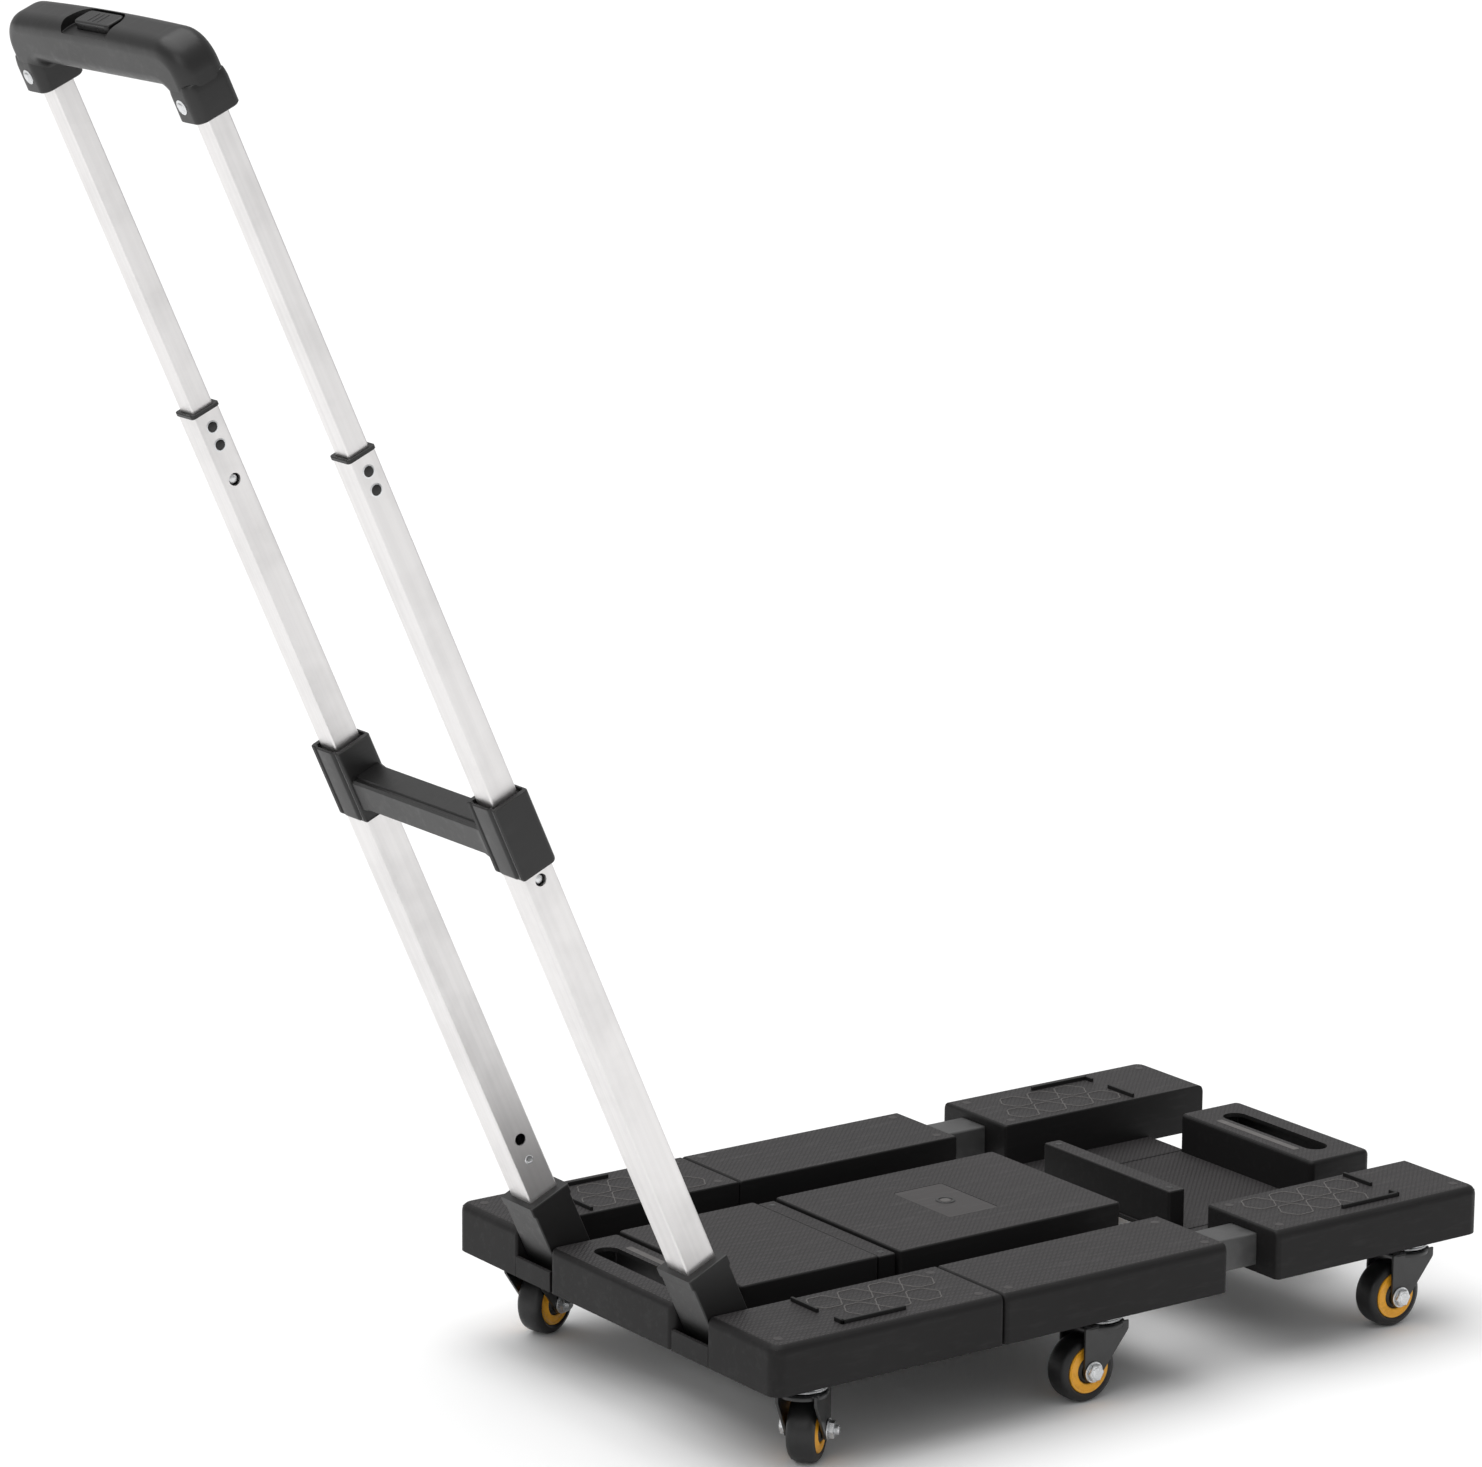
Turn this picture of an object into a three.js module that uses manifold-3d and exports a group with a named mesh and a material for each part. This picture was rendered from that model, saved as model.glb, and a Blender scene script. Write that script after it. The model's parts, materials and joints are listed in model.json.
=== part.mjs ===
// Folding platform cart: a three-section moulded deck on six swivel casters, with a
// telescopic handle that leans back over one end and folds flat into the deck's channels.
// Millimetres. +X runs from the handle end to the far end, +Z is up, Y = 0 is the middle.
import * as THREE from "three";
import { mergeVertices } from "three/addons/utils/BufferGeometryUtils.js";
import Module from "manifold-3d";

const wasm = await Module();
wasm.setup();

// ---------------------------------------------------------------- driving dimensions
// Deck
const DECK_WIDTH = 400;
const DECK_THICKNESS = 36.7;
const END_SECTION_LENGTH = 200; // the front and the rear moulding
const MIDDLE_SECTION_LENGTH = 205;
const SEAM = 0.5; // between the front and the middle moulding
const SLIDE_OPENING = 47; // between the middle and the rear moulding, pulled out
const SIDE_BLOCK_WIDTH = 80;
const CHANNEL_WIDTH = 42.5; // room for one folded handle tube
const MOULDING_WALL = 3;
const CORNER_RADIUS = 10;
const EDGE_FILLET = 4;
const HAND_BAR_DEPTH = 60; // length of the hand-hold block along X
const HAND_BAR_DROP = 3; // its top below the deck's top
const HAND_SLOT_LENGTH = 112;
const HAND_SLOT_WIDTH = 20;
const CROSS_WALL_DEPTH = 17;
const CROSS_WALL_CLEARANCE = 2.5; // from each end of the cross wall to the channel
const CROSS_WALL_DROP = 2.5;
const NOTCH_SILL = 15.5; // height of the front wall left under each handle notch
const TRAY_END_CLEARANCE = 5; // open notch that starts beside the rear hand-hold block
const STOP_RIB_HEIGHT = 3;
const STOP_RIB_WIDTH = 2.5;
const STOP_RIB_INSET = 68; // from the section's outer end to the rib's corner
const STOP_RIB_LENGTH = 56;
const STOP_RIB_EDGE = 15; // from the deck's side to the rib
const PANEL_DROP = 1; // the centre panels' tops below the deck's top
const PANEL_THICKNESS = 3;
const BADGE_LENGTH = 46;
const BADGE_WIDTH = 70;
const BADGE_DEPTH = 1.2;

// Slide rails
const RAIL_WIDTH = 30;
const RAIL_HEIGHT = 24;
const RAIL_DROP = 7; // rail's top below the deck's top
const RAIL_OFFSET = 1; // rail's centre outboard of the side block's centre
const RAIL_IN_MIDDLE = 120; // length held by the middle section, pulled out
const RAIL_IN_REAR = 110;
const REAR_TRAVEL = 45;

// Handle
const LEAN = 24.43; // degrees from upright at rest
const PIVOT_INSET = 24; // pivot from the handle end of the deck
const HEEL_CLEARANCE = 2; // from a socket's round heel to the channel floor
const PIVOT_PIN_RADIUS = 4;
const LOWER_TUBE = 25.6;
const LOWER_TUBE_WALL = 1.5;
const MIDDLE_TUBE_WALL = 1.4;
const TOP_TUBE_WALL = 1.2;
const SOCKET_CLEARANCE = 1; // each side of a socket in its channel
const SOCKET_WALL = 3.7; // in front of and behind the tube
const SOCKET_HEIGHT = 55; // from the pivot to the socket's top
const SOCKET_FLOOR = 9; // tube's end above the pivot
const BRACE_DROP_CLEARANCE = 16; // from the middle section to the folded brace's bar
const BRACE_HEIGHT = 57;
const BRACE_SIDE_WALL = 5.2;
const BRACE_FACE_WALL = 2.4;
const BRACE_BAR_HEIGHT = 24;
const BRACE_BAR_DEPTH = 24;
const BRACE_BAR_RISE = 10; // bar above the brace's bottom
const BRACE_LIP = 3.5;
const MIDDLE_STAGE_LENGTH = 260.5; // extension of the middle tubes
const TOP_STAGE_LENGTH = 246; // extension of the top tubes
const MIDDLE_TUBE_OVERLAP = 82; // middle tube left inside the lower one, pulled out
const TOP_TUBE_OVERLAP = 62; // top tube left inside the middle one, pulled out
const COLLAR_HEIGHT = 8;
const COLLAR_LIP = 2.5;

// Grip
const GRIP_SIDE_CLEARANCE = 6.5; // from the folded grip to each side block
const GRIP_HEIGHT = 57;
const GRIP_BAR_HEIGHT = 35;
const GRIP_DEPTH = 34;
const GRIP_LEG_WALL = 5.25; // between the top tube and the finger gap
const GRIP_POCKET_DEPTH = 34;
const BUTTON_LENGTH = 52;
const BUTTON_WIDTH = 16;
const BUTTON_TRAVEL = 4;
const YOKE_SIZE = 7;
const YOKE_DEPTH = 12; // yoke's top below the grip's top
const ROD_RADIUS = 2.5;
const RIVET_RADIUS = 4.5;
const RIVET_SHANK_RADIUS = 2.4;
const RIVET_RISE = 12; // rivet above the grip legs' ends
const LOWER_LOCK_DROP = 8; // lock button under the brace
const UPPER_LOCK_DROP = 56; // lock button under the collar's top
const LOCK_HOLE_RADIUS = 4;
const FOOT_HOLE_RISE = 49; // hole in the left lower tube above its socket

// Casters
const WHEEL_RADIUS = 24.7;
const WHEEL_WIDTH = 22;
const TYRE_THICKNESS = 7.2;
const HUB_RADIUS = 9;
const AXLE_RADIUS = 4;
const CASTER_TRAIL = 15; // swivel axis to wheel axle
const CASTER_INSET_X = 47; // front and rear swivel axes from the deck's ends
const MIDDLE_CASTER_X = 110; // middle swivel axes from the middle section's front
const CASTER_OFFSET = 8; // swivel axis outboard of the side block's centre
const PLATE_LENGTH = 60;
const PLATE_WIDTH = 46;
const PLATE_THICKNESS = 2.5;
const SCREW_INSET = 6;
const SCREW_HOLE_RADIUS = 2.5;
const RACE_RADIUS = 17;
const RACE_HEIGHT = 6.4;
const FORK_SHEET = 2.2;
const FORK_CLEARANCE = 9.6; // from the wheel to the top of the fork
const FORK_RADIUS = 19;
const KINGPIN_RADIUS = 4;

// Clearances
const TOUCH = 0.3; // between pieces that seat on each other
const RUNNING = 0.4; // round a pin or in a sliding fit
const TUBE_SLIDE = 0.7; // between one handle tube and the next

// Turn of each caster about its swivel axis, degrees, zero with the wheel trailing to -X
const CASTERS = [
  { name: "front_left", end: "front", side: 1, turn: 201 },
  { name: "front_right", end: "front", side: -1, turn: 219 },
  { name: "middle_left", end: "middle", side: 1, turn: 0 },
  { name: "middle_right", end: "middle", side: -1, turn: 0 },
  { name: "rear_left", end: "rear", side: 1, turn: 0 },
  { name: "rear_right", end: "rear", side: -1, turn: 0 },
];

// ---------------------------------------------------------------- derived places
const forkTop = 2 * WHEEL_RADIUS + FORK_CLEARANCE;
const raceBottom = forkTop + TOUCH;
const plateBottom = raceBottom + RACE_HEIGHT;
const plateTop = plateBottom + PLATE_THICKNESS;
const deckBottom = plateTop + TOUCH;
const deckTop = deckBottom + DECK_THICKNESS;
const deckHalf = DECK_WIDTH / 2;
const blockInner = deckHalf - SIDE_BLOCK_WIDTH;
const blockCentre = blockInner + SIDE_BLOCK_WIDTH / 2;
const centreHalf = blockInner - CHANNEL_WIDTH;
const crossWallHalf = centreHalf - CROSS_WALL_CLEARANCE;
const casterY = blockCentre + CASTER_OFFSET;
const floorTop = deckBottom + MOULDING_WALL;
const middleStart = END_SECTION_LENGTH + SEAM;
const middleEnd = middleStart + MIDDLE_SECTION_LENGTH;
const rearStart = middleEnd + SLIDE_OPENING;
const deckEnd = rearStart + END_SECTION_LENGTH;
const panelTop = deckTop - PANEL_DROP;
const railTop = deckTop - RAIL_DROP;
const railBottom = railTop - RAIL_HEIGHT;
const railCentre = blockCentre + RAIL_OFFSET;
const tubeY = blockInner - CHANNEL_WIDTH / 2;
const middleTubeSize = LOWER_TUBE - 2 * LOWER_TUBE_WALL - 2 * TUBE_SLIDE;
const topTubeSize = middleTubeSize - 2 * MIDDLE_TUBE_WALL - 2 * TUBE_SLIDE;
const socketWidth = CHANNEL_WIDTH - 2 * SOCKET_CLEARANCE;
const socketDepth = LOWER_TUBE + 2 * SOCKET_WALL;
const braceWidth = LOWER_TUBE + 2 * BRACE_SIDE_WALL;
const braceDepth = LOWER_TUBE + 2 * BRACE_FACE_WALL;
const pivot = new THREE.Vector3(PIVOT_INSET, 0, floorTop + socketDepth / 2 + HEEL_CLEARANCE);
const braceBottom = middleEnd + BRACE_DROP_CLEARANCE - PIVOT_INSET - BRACE_BAR_RISE;
const braceTop = braceBottom + BRACE_HEIGHT;
const collarTop = braceTop + MIDDLE_STAGE_LENGTH + COLLAR_HEIGHT;
const gripBottom = collarTop + TOP_STAGE_LENGTH;
const gripTop = gripBottom + GRIP_HEIGHT;
const barBottom = gripTop - GRIP_BAR_HEIGHT;
const lowerTubeTop = braceTop - BRACE_LIP - TOUCH;
const middleTubeBottom = lowerTubeTop - MIDDLE_TUBE_OVERLAP;
const middleTubeTop = collarTop - COLLAR_LIP - TOUCH;
const topTubeBottom = middleTubeTop - TOP_TUBE_OVERLAP;
const topTubeTop = gripBottom + GRIP_POCKET_DEPTH - TOUCH;
const yokeTop = gripTop - YOKE_DEPTH;
const rivetZ = gripBottom + RIVET_RISE;
const lowerLockZ = braceBottom - LOWER_LOCK_DROP;
const upperLockZ = collarTop - UPPER_LOCK_DROP;
const yokeBottom = yokeTop - YOKE_SIZE;
const gripHalf = blockInner - GRIP_SIDE_CLEARANCE;
const gripInner = tubeY - topTubeSize / 2 - GRIP_LEG_WALL;
const rimRadius = WHEEL_RADIUS - TYRE_THICKNESS;
const SIDES = [
  { name: "left", sign: 1 },
  { name: "right", sign: -1 },
];

// ---------------------------------------------------------------- materials
const finish = (color, roughness, metalness) =>
  new THREE.MeshStandardMaterial({ color, roughness, metalness });
const deckPlastic = finish(0x2a2929, 0.62, 0);
const panelPlastic = finish(0x302f2f, 0.66, 0);
const handlePlastic = finish(0x232222, 0.5, 0);
const aluminium = finish(0xc6c7ca, 0.32, 1);
const zincSteel = finish(0xb9bcc0, 0.35, 1);
const paintedSteel = finish(0x262626, 0.5, 0.3);
const railSteel = finish(0x8d8e90, 0.45, 0.6);
const tyreRubber = finish(0x1d1d1d, 0.75, 0);
const rimPlastic = finish(0xf0a020, 0.45, 0);

// ---------------------------------------------------------------- solids
// A closed geometry as a solid that can be joined and cut.
function solid(geometry) {
  const plain = geometry.clone();
  plain.deleteAttribute("normal");
  plain.deleteAttribute("uv");
  const merged = mergeVertices(plain, 1e-4);
  return new wasm.Manifold(
    new wasm.Mesh({
      numProp: 3,
      vertProperties: merged.attributes.position.array,
      triVerts: new Uint32Array(merged.index.array),
    }),
  );
}

// A solid as a geometry with flat faces.
function geometryOf(body) {
  const mesh = body.getMesh();
  const indexed = new THREE.BufferGeometry();
  indexed.setAttribute("position", new THREE.BufferAttribute(mesh.vertProperties, 3));
  indexed.setIndex(new THREE.BufferAttribute(mesh.triVerts, 1));
  const geometry = indexed.toNonIndexed();
  geometry.computeVertexNormals();
  return geometry;
}

const join = (first, ...others) => others.reduce((sum, other) => sum.add(other), first);
const cut = (first, ...others) => others.reduce((rest, other) => rest.subtract(other), first);

// A box between two corners.
function box(x0, x1, y0, y1, z0, z1) {
  const geometry = new THREE.BoxGeometry(x1 - x0, y1 - y0, z1 - z0);
  geometry.translate((x0 + x1) / 2, (y0 + y1) / 2, (z0 + z1) / 2);
  return solid(geometry);
}

// A rectangle centred on the origin with round corners.
function roundedRectangle(width, height, radius) {
  const [w, h, r] = [width / 2, height / 2, Math.min(radius, width / 2 - 0.01, height / 2 - 0.01)];
  const shape = new THREE.Shape();
  shape.absarc(w - r, -h + r, r, -Math.PI / 2, 0);
  shape.absarc(w - r, h - r, r, 0, Math.PI / 2);
  shape.absarc(-w + r, h - r, r, Math.PI / 2, Math.PI);
  shape.absarc(-w + r, -h + r, r, Math.PI, Math.PI * 1.5);
  shape.closePath();
  return shape;
}

// An outline in X and Y raised from one height to another.
function prism(shape, z0, z1, segments = 4) {
  const geometry = new THREE.ExtrudeGeometry(shape, {
    depth: z1 - z0,
    bevelEnabled: false,
    curveSegments: segments,
  });
  geometry.translate(0, 0, z0);
  return solid(geometry);
}

// A round bar between two heights.
function cylinder(radius, z0, z1, segments = 16) {
  const geometry = new THREE.CylinderGeometry(radius, radius, z1 - z0, segments);
  geometry.rotateX(Math.PI / 2);
  geometry.translate(0, 0, (z0 + z1) / 2);
  return solid(geometry);
}

// A round bar along Y through a point.
function crossBar(radius, x, z, y0, y1, segments = 16) {
  const geometry = new THREE.CylinderGeometry(radius, radius, y1 - y0, segments);
  geometry.translate(x, (y0 + y1) / 2, z);
  return solid(geometry);
}

// A round bar along X, centred on a point.
function lengthBar(radius, length, x, y, z, segments = 12) {
  const geometry = new THREE.CylinderGeometry(radius, radius, length, segments);
  geometry.rotateZ(Math.PI / 2);
  geometry.translate(x, y, z);
  return solid(geometry);
}

// A square bar between two heights, centred on X = 0.
const squareBar = (half, y, z0, z1) => box(-half, half, y - half, y + half, z0, z1);

// A length of square tube, centred on X = 0, with its bore open at both ends.
function squareTube(size, wall, z0, z1, y) {
  const outer = prism(roundedRectangle(size, size, wall * 1.3), z0, z1, 2).translate(0, y, 0);
  return cut(outer, squareBar(size / 2 - wall, y, z0 - 1, z1 + 1));
}

// A moulded block with round upright corners and a filleted top edge, solid inside.
function filletedBlock(x0, x1, y0, y1, top, radius) {
  const fillet = Math.min(EDGE_FILLET, 0.6 * radius);
  const geometry = new THREE.ExtrudeGeometry(roundedRectangle(x1 - x0, y1 - y0, radius), {
    depth: DECK_THICKNESS,
    bevelThickness: fillet,
    bevelSize: fillet,
    bevelOffset: -fillet,
    bevelSegments: 1,
    curveSegments: 2,
  });
  geometry.translate((x0 + x1) / 2, (y0 + y1) / 2, top - DECK_THICKNESS - fillet);
  const below = box(x0 - 1, x1 + 1, y0 - 1, y1 + 1, deckBottom - DECK_THICKNESS, deckBottom);
  return cut(solid(geometry), below);
}

// The same block as a shell that is open underneath.
function shellBlock(x0, x1, y0, y1, top, radius = CORNER_RADIUS) {
  const wall = MOULDING_WALL;
  const hollow = box(x0 + wall, x1 - wall, y0 + wall, y1 - wall, deckBottom - 1, top - wall);
  return cut(filletedBlock(x0, x1, y0, y1, top, radius), hollow);
}

// ---------------------------------------------------------------- the scene
const cart = new THREE.Group();

// Adds one named piece to a group.
function place(name, body, material, parent = cart) {
  const mesh = new THREE.Mesh(geometryOf(body), material);
  mesh.name = name;
  parent.add(mesh);
  return mesh;
}

// ---------------------------------------------------------------- deck
// The floor that a caster plate is screwed to under a side block, and the rib on it.
function casterSeat(x, y) {
  const inner = SIDE_BLOCK_WIDTH / 2 - MOULDING_WALL + 0.5;
  const seatHalf = PLATE_LENGTH / 2 + 6;
  const rib = MOULDING_WALL / 2;
  const blockY = Math.sign(y) * (blockInner + SIDE_BLOCK_WIDTH / 2);
  return join(
    box(x - seatHalf, x + seatHalf, blockY - inner, blockY + inner, deckBottom, floorTop + 1),
    box(x - seatHalf, x + seatHalf, blockY - rib, blockY + rib, deckBottom, deckTop - MOULDING_WALL + 0.5),
  );
}

// One side block with its caster seat.
function sideBlock(x0, x1, side, casterX) {
  const [y0, y1] = side > 0 ? [blockInner, deckHalf] : [-deckHalf, -blockInner];
  return join(shellBlock(x0, x1, y0, y1, deckTop), casterSeat(casterX, side * casterY));
}

// The L-shaped stop ribs on top of a side block and the short one in line with them.
function stopRibs(side) {
  const x0 = STOP_RIB_INSET;
  const outer = deckHalf - STOP_RIB_EDGE;
  const [z0, z1] = [deckTop - 1, deckTop + STOP_RIB_HEIGHT];
  const strip = (xa, xb, ya, yb) => {
    const [low, high] = side > 0 ? [ya, yb] : [-yb, -ya];
    return box(xa, xb, low, high, z0, z1);
  };
  return join(
    strip(x0, x0 + STOP_RIB_LENGTH, outer - STOP_RIB_WIDTH, outer),
    strip(x0, x0 + STOP_RIB_WIDTH, outer - 10, outer),
    strip(x0, x0 + STOP_RIB_WIDTH, blockInner + 4, blockInner + 35),
  );
}

// The moulding at both ends of the deck, drawn with its outer end at X = 0.
function endSection({ trayOpen }) {
  const length = END_SECTION_LENGTH;
  const wall = MOULDING_WALL;
  const blocks = SIDES.map(({ sign }) =>
    join(sideBlock(0, length, sign, CASTER_INSET_X), stopRibs(sign)),
  );
  const barTop = deckTop - HAND_BAR_DROP;
  const handBar = shellBlock(0, HAND_BAR_DEPTH, -centreHalf, centreHalf, barTop, 6);
  const slot = (grow, z0, z1) => {
    const [width, slotLength] = [HAND_SLOT_WIDTH + 2 * grow, HAND_SLOT_LENGTH + 2 * grow];
    return prism(roundedRectangle(width, slotLength, width / 2), z0, z1, 6)
      .translate(HAND_BAR_DEPTH / 2, 0, 0);
  };
  const wallStart = length - CROSS_WALL_DEPTH - 1.5;
  const crossWall = shellBlock(
    wallStart,
    wallStart + CROSS_WALL_DEPTH,
    -crossWallHalf,
    crossWallHalf,
    deckTop - CROSS_WALL_DROP,
    2,
  );
  const floorStart = trayOpen ? HAND_BAR_DEPTH - TRAY_END_CLEARANCE : wall;
  const trayHole = box(wallStart + wall, wallStart + CROSS_WALL_DEPTH - wall, 5 - crossWallHalf,
    crossWallHalf - 5, deckBottom - 1, floorTop + 1);
  const floor = cut(
    box(floorStart, length, -blockInner - 1, blockInner + 1, deckBottom, floorTop),
    box(wall, HAND_BAR_DEPTH - wall, -centreHalf + wall, centreHalf - wall, deckBottom - 1, floorTop + 1),
    trayHole,
  );
  const slotWall = slot(wall, deckBottom, barTop - EDGE_FILLET / 2);
  const body = [...blocks, handBar, crossWall, floor, slotWall];
  if (!trayOpen) {
    body.push(box(0, wall, -blockInner - wall, blockInner + wall, deckBottom, deckBottom + NOTCH_SILL));
  }
  return cut(join(...body), slot(0, deckBottom - 1, barTop + 1));
}

// The front moulding's holes for the handle's pivot pins.
function pivotHoles(sign) {
  const radius = PIVOT_PIN_RADIUS + RUNNING;
  const [a, b] = [sign * (centreHalf - 2 * MOULDING_WALL), sign * (blockInner + 2 * MOULDING_WALL)];
  return crossBar(radius, pivot.x, pivot.z, Math.min(a, b), Math.max(a, b));
}

// The passages that a slide rail runs through, with sliding clearance round it.
function railPassage(x0, x1, sign) {
  const half = RAIL_WIDTH / 2 + RUNNING;
  const y = sign * railCentre;
  return box(x0, x1, y - half, y + half, railBottom - RUNNING, railTop + RUNNING);
}

const frontSection = cut(endSection({ trayOpen: false }), ...SIDES.map(({ sign }) => pivotHoles(sign)));
place("front_section", frontSection, deckPlastic);

const middleCasterX = middleStart + MIDDLE_CASTER_X;
const middleShell = join(
  ...SIDES.map(({ sign }) => sideBlock(middleStart, middleEnd, sign, middleCasterX)),
  box(middleStart, middleEnd, -blockInner - 1, blockInner + 1, deckBottom, floorTop),
);
const innerRailEnd = middleEnd - RAIL_IN_MIDDLE;
const middlePassages = SIDES.map(({ sign }) =>
  railPassage(innerRailEnd - REAR_TRAVEL - 1, middleEnd + 1, sign),
);
place("middle_section", cut(middleShell, ...middlePassages), deckPlastic);

const outerRailEnd = rearStart + RAIL_IN_REAR;
const rearShell = endSection({ trayOpen: true })
  .rotate(0, 0, 180)
  .translate(deckEnd, 0, 0);
const rearPassages = SIDES.map(({ sign }) => railPassage(rearStart - 1, outerRailEnd + RUNNING, sign));
place("rear_section", cut(rearShell, ...rearPassages), deckPlastic);

SIDES.forEach(({ name, sign }) => {
  const y = sign * railCentre;
  const half = RAIL_WIDTH / 2;
  const rail = cut(
    box(innerRailEnd, outerRailEnd, y - half, y + half, railBottom, railTop),
    box(innerRailEnd - 1, outerRailEnd + 1, y - half + 2, y + half - 2, railBottom - 1, railTop - 2),
  );
  place(`${name}_slide_rail`, rail, railSteel);
});

// A tread panel: a shell that stands on the channel floor.
function treadPanel(x0, x1) {
  const hollow = box(x0 + MOULDING_WALL, x1 - MOULDING_WALL, MOULDING_WALL - centreHalf,
    centreHalf - MOULDING_WALL, floorTop, panelTop - PANEL_THICKNESS);
  const block = filletedBlock(x0, x1, 0.5 - centreHalf, centreHalf - 0.5, panelTop, 4);
  const below = box(x0 - 1, x1 + 1, -centreHalf, centreHalf, deckBottom - 1, floorTop + TOUCH);
  return cut(block, hollow, below);
}

const frontPanelEnd = END_SECTION_LENGTH - CROSS_WALL_DEPTH - 1.5 - TOUCH;
place("front_centre_panel", treadPanel(HAND_BAR_DEPTH + TOUCH, frontPanelEnd), panelPlastic);

const badgeX = (middleStart + middleEnd) / 2 - 2;
const badgeOutline = roundedRectangle(BADGE_LENGTH, BADGE_WIDTH, 3);
const badgeRecess = prism(badgeOutline, panelTop - BADGE_DEPTH, panelTop + 1);
place(
  "middle_centre_panel",
  cut(treadPanel(middleStart + TOUCH, middleEnd), badgeRecess.translate(badgeX, 0, 0)),
  panelPlastic,
);
const badge = prism(
  roundedRectangle(BADGE_LENGTH - 2 * TOUCH, BADGE_WIDTH - 2 * TOUCH, 3 - TOUCH),
  panelTop - BADGE_DEPTH + TOUCH,
  panelTop,
);
place("badge_plate", badge.translate(badgeX, 0, 0), handlePlastic);

// ---------------------------------------------------------------- handle
// The handle is drawn upright about its pivot and then leans back.
const handle = new THREE.Group();
handle.position.copy(pivot);
handle.rotation.y = -THREE.MathUtils.degToRad(LEAN);
cart.add(handle);

// A socket: round below the pivot, square above it, with a pocket for the tube.
function socket(y) {
  const [w, d] = [socketWidth / 2, socketDepth / 2];
  const heel = crossBar(d, 0, 0, y - w, y + w, 24);
  const body = box(-d, d, y - w, y + w, 0, SOCKET_HEIGHT);
  const pocket = squareBar(LOWER_TUBE / 2 + TOUCH, y, SOCKET_FLOOR - TOUCH, SOCKET_HEIGHT + 1);
  const pinHole = crossBar(PIVOT_PIN_RADIUS + RUNNING, 0, 0, y - w - 1, y + w + 1);
  return cut(join(heel, body), pocket, pinHole);
}

// A drill through the right-hand wall of a tube.
function lockDrill(y, size, wall, z) {
  const face = y - size / 2;
  return crossBar(LOCK_HOLE_RADIUS, 0, z, face - 1, face + wall + 1, 12);
}

SIDES.forEach(({ name, sign }) => {
  const y = sign * tubeY;
  place(`${name}_socket`, socket(y), handlePlastic, handle);

  const pinHalf = socketWidth / 2 + 5;
  const pin = crossBar(PIVOT_PIN_RADIUS, pivot.x, pivot.z, y - pinHalf, y + pinHalf);
  place(`${name}_pivot_pin`, pin, zincSteel);

  const lowerHoleZ = sign > 0 ? SOCKET_HEIGHT + FOOT_HOLE_RISE : lowerLockZ;
  const lowerTube = squareTube(LOWER_TUBE, LOWER_TUBE_WALL, SOCKET_FLOOR, lowerTubeTop, y);
  const lowerDrill = lockDrill(y, LOWER_TUBE, LOWER_TUBE_WALL, lowerHoleZ);
  place(`${name}_lower_tube`, cut(lowerTube, lowerDrill), aluminium, handle);

  const middleTube = squareTube(middleTubeSize, MIDDLE_TUBE_WALL, middleTubeBottom, middleTubeTop, y);
  const middleHoleZ = sign > 0 ? upperLockZ : lowerLockZ;
  const middleDrill = lockDrill(y, middleTubeSize, MIDDLE_TUBE_WALL, middleHoleZ);
  place(`${name}_middle_tube`, cut(middleTube, middleDrill), aluminium, handle);

  const collarHalf = LOWER_TUBE / 2;
  const collarBottom = collarTop - COLLAR_HEIGHT;
  const collar = cut(
    squareBar(collarHalf, y, collarBottom, collarTop),
    squareBar(middleTubeSize / 2 + TOUCH, y, collarBottom - 1, collarTop - COLLAR_LIP),
    squareBar(topTubeSize / 2 + RUNNING, y, collarBottom, collarTop + 1),
  );
  place(`${name}_collar`, collar, handlePlastic, handle);

  const topTube = squareTube(topTubeSize, TOP_TUBE_WALL, topTubeBottom, topTubeTop, y);
  const drills = [lengthBar(RIVET_SHANK_RADIUS + RUNNING, topTubeSize + 2, 0, y, rivetZ, 10)];
  if (sign > 0) drills.push(lockDrill(y, topTubeSize, TOP_TUBE_WALL, upperLockZ));
  place(`${name}_top_tube`, cut(topTube, ...drills), aluminium, handle);

  const rodBottom = topTubeBottom + 12;
  const rod = cylinder(ROD_RADIUS, rodBottom, yokeBottom - TOUCH, 8).translate(3.2, y, 0);
  const headX = -GRIP_DEPTH / 2 + 1.25;
  const rivetHead = lengthBar(RIVET_RADIUS, 1.5, headX, y, rivetZ, 14);
  const rivetShank = lengthBar(RIVET_SHANK_RADIUS, 14, headX + 7, y, rivetZ, 10);
  place(`${name}_grip_rivet`, join(rivetHead, rivetShank), zincSteel, handle);
  place(`${name}_pull_rod`, rod, zincSteel, handle);
});

// A lock button sits in the drilled wall of the inner tube, flush with its face.
function lockButton(y, tube, wall, z) {
  const face = y - tube / 2;
  return crossBar(LOCK_HOLE_RADIUS - TOUCH, 0, z, face, face + wall + 1.2, 12);
}
const lowerLock = lockButton(-tubeY, middleTubeSize, MIDDLE_TUBE_WALL, lowerLockZ);
const upperLock = lockButton(tubeY, topTubeSize, TOP_TUBE_WALL, upperLockZ);
place("lower_lock_button", lowerLock, zincSteel, handle);
place("upper_lock_button", upperLock, zincSteel, handle);

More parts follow.
